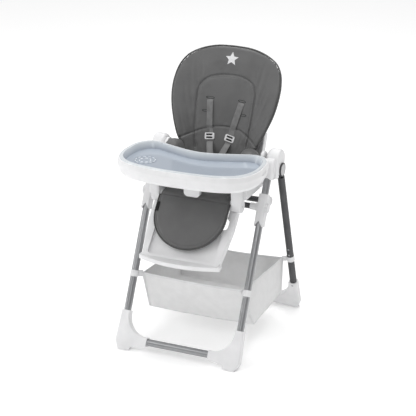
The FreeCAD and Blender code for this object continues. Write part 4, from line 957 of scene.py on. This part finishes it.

# %% [markdown]
# ## Cup ring
# The loose tray has a moulded ring that keeps a cup from sliding. It is a circle of short raised ribs with a
# second, smaller circle inside. The ribs are coloured pale, a painted highlight for the spot of light each catches.

# %% Cup ring ribs
tray_low, tray_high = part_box("tray_insert")
insert_node = frame["nodes"]["tray_insert"]
dish = BVHTree.FromObject(insert_node, bpy.context.evaluated_depsgraph_get())
CUP_X, CUP_Y = -185, -176
rib_points, rib_faces = [], []
for radius, count, share in ((38.0, 12, 0.62), (22.0, 7, 0.6)):
    for k in range(count):
        middle_angle = 2 * math.pi * k / count
        half_angle = math.pi / count * share
        base = len(rib_points)
        for t in np.linspace(-1, 1, 7):
            angle = middle_angle + t * half_angle
            end = math.sqrt(max(1 - t * t, 0.0))
            x, y = CUP_X + radius * math.cos(angle), CUP_Y + radius * math.sin(angle)
            hit = dish.ray_cast(Vector((x * MM, y * MM, 1.0)), Vector((0, 0, -1)))
            z = hit[0].z / MM if hit[0] is not None else tray_low.z / MM + 2.6
            out = Vector((math.cos(angle), math.sin(angle), 0))
            for wide, tall in ((-1.9, -0.2), (-0.9, 1.3 * end), (0.9, 1.3 * end), (1.9, -0.2)):
                rib_points.append(Vector((x, y, z + tall)) + out * wide)
        for i in range(6):
            for j in range(3):
                a, b = base + 4 * i, base + 4 * i + 4
                rib_faces.append((a + j, a + j + 1, b + j + 1, b + j))
cup_ribs = mesh_piece("cup_ring_ribs", rib_points, rib_faces, painted_rib_highlight)
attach(cup_ribs, "tray_dish")
print("cup ring:", len(rib_faces), "faces")

# %% [markdown]
# ## Storage basket
# The basket is a box of light cloth, open at the top, that hangs from four webbing loops. Its rim sags
# between the corners, its walls bulge a little and its corners are bound with tape.

# %% Basket cloth
# corners from the front left one round the right side: the rim's, then the floor's
HIGH = [(-211, -160.5, 263), (211, -160.5, 263), (229, 227, 247), (-229, 227, 247)]
LOW = [(-205, -110, 98), (238, -106, 99), (230, 211, 100), (-214, 211, 100)]


def basket_wall(share_down, ring):
    """A point at ring (0 to 4, corner to corner) and share_down of the height."""
    corners = [Vector(high_end).lerp(Vector(low_end), share_down) for high_end, low_end in zip(HIGH, LOW)]
    i = int(ring) % 4
    t = ring - int(ring)
    a, b = corners[i], corners[(i + 1) % 4]
    point = a.lerp(b, t)
    middle = math.sin(math.pi * t)
    outward = Vector((point.x / 210 if i % 2 else 0, 0 if i % 2 else (-1 if i == 0 else 1), 0))
    belly = math.sin(math.pi * min(share_down * 1.15, 1.0))
    point += outward * (5.0 * belly * middle - 5.0 * (1 - share_down) * middle)
    point.z -= 7.0 * (1 - share_down) * middle + 5.0 * share_down * middle * (0.4 if i % 2 else 1)
    wrinkle = noise.noise(Vector((point.x * 0.02, point.y * 0.02, point.z * 0.035)))
    return point + outward * wrinkle * 1.6 * math.sin(math.pi * t)


SIDE_STEPS, DOWN_STEPS, FLOOR_STEPS = 26, 16, 26
points, faces = [], []
ring_count = 4 * SIDE_STEPS
for j in range(DOWN_STEPS + 1):
    for k in range(ring_count):
        points.append(basket_wall(j / DOWN_STEPS, k / SIDE_STEPS))
for j in range(DOWN_STEPS):
    for k in range(ring_count):
        a, b = j * ring_count, (j + 1) * ring_count
        faces.append((a + k, a + (k + 1) % ring_count, b + (k + 1) % ring_count, b + k))
edge = points[DOWN_STEPS * ring_count:]
grid = {}
for i in range(SIDE_STEPS + 1):
    for j in range(SIDE_STEPS + 1):
        if j == 0:
            index = DOWN_STEPS * ring_count + i
        elif i == SIDE_STEPS:
            index = DOWN_STEPS * ring_count + SIDE_STEPS + j
        elif j == SIDE_STEPS:
            index = DOWN_STEPS * ring_count + 3 * SIDE_STEPS - i
        elif i == 0:
            index = DOWN_STEPS * ring_count + (4 * SIDE_STEPS - j) % ring_count
        else:
            index = len(points)
            u, v = i / SIDE_STEPS, j / SIDE_STEPS
            front, rear = edge[i], edge[3 * SIDE_STEPS - i]
            left, right = edge[(4 * SIDE_STEPS - j) % ring_count], edge[SIDE_STEPS + j]
            flat = front.lerp(rear, v) * 0.5 + left.lerp(right, u) * 0.5
            flat.z = 99 - 3.0 * math.sin(math.pi * u) * math.sin(math.pi * v) - 3.0 \
                + 1.6 * noise.noise(Vector((flat.x * 0.02, flat.y * 0.02, 7)))
            points.append(flat)
        grid[i, j] = index
for i in range(SIDE_STEPS):
    for j in range(SIDE_STEPS):
        faces.append((grid[i, j], grid[i + 1, j], grid[i + 1, j + 1], grid[i, j + 1]))
basket_piece = mesh_piece("basket_cloth", points, faces, basket_cloth)
cloth_thickness = basket_piece.modifiers.new("thickness", "SOLIDIFY")
cloth_thickness.thickness, cloth_thickness.offset = 1.6 * MM, 0.0
bake(basket_piece)


top = [Vector(corner) for corner in HIGH]


def hang_on_front(piece):
    """The basket's pieces ride on the front legs."""
    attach(piece, "front_frame")
    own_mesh(piece)


hang_on_front(basket_piece)
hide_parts("basket")

# %% [markdown]
# A tape bound over the rim and down each corner hides the cut edges. At each leg a webbing loop goes round the
# tube and runs on to the basket's corner.

# %% Basket binding and webbing loops
def bound_edge(name, line, width, wide):
    piece = tape(name, line, wide, width, 3.4, basket_binding_cloth, 2)
    hang_on_front(piece)
    return piece


for k, name in enumerate(("front", "right", "rear", "left")):
    line = [basket_wall(0.02, k + t) for t in np.linspace(0, 0.9999, 40)]
    bound_edge("basket_rim_" + name, line, 9, Vector((0, 0, 1)))
for k, name in enumerate(("front_left", "front_right", "rear_right", "rear_left")):
    line = [basket_wall(t, k) for t in np.linspace(0, 0.99, 24)]
    sign = -1 if "left" in name else 1
    bound_edge("basket_corner_" + name, line, 8, Vector((sign, -1 if "front" in name else 1, 0)))


FOOT_Y = 313.5                                           # from the middle to either leg at the floor
FRONT_LEG_X, REAR_LEG_X = 238, 262
FRONT_LEAN, REAR_LEAN = math.radians(26.84), math.radians(18.13)
LOOP_RADIUS = 15.2                                       # the leg's radius, and room for the webbing


def leg_point(front, height):
    """A point on the middle line of a right leg."""
    if front:
        return Vector((FRONT_LEG_X, -FOOT_Y + height * math.tan(FRONT_LEAN), height))
    return Vector((REAR_LEG_X, FOOT_Y - height * math.tan(REAR_LEAN), height))


def loops(name, front, height, corner, body):
    """Webbing round both legs with a tail to the basket's corner."""
    joined = []
    for sign in (-1, 1):
        centre = leg_point(front, height)
        axis = (leg_point(front, height + 50) - centre).normalized()
        inward = Vector((-1, 0, 0))
        other = axis.cross(inward)
        ring = []
        for angle in np.linspace(0, 2 * math.pi, 40):
            ring.append(centre + inward * LOOP_RADIUS * math.cos(angle) + other * LOOP_RADIUS * math.sin(angle))
        ring += [centre.lerp(Vector(corner), t) + other * 3 * math.sin(math.pi * t)
                 for t in np.linspace(LOOP_RADIUS / (centre - Vector(corner)).length, 1, 8)]
        line = [Vector((sign * p.x, p.y, p.z)) for p in ring]
        side = "_left" if sign < 0 else "_right"
        joined.append(tape(name + side, line, axis, 25, 1.7, basket_binding_cloth, 5))
    for piece in joined:
        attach(piece, body)
    return joined


front_loops = loops("basket_loop_front", True, 263, (211, -158, 259), "front_frame")
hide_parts("basket_straps_front")
rear_loops = loops("basket_loop_rear", False, 250, (229, 225, 245), "rear_frame")
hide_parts("basket_straps_rear")
print("basket bound and hung")

# %% [markdown]
# ## Sizes
# The box of what shows is printed.

# %% Sizes
low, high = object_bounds()
print("visual box, metres:", [round(v, 3) for v in (*low, *high)])
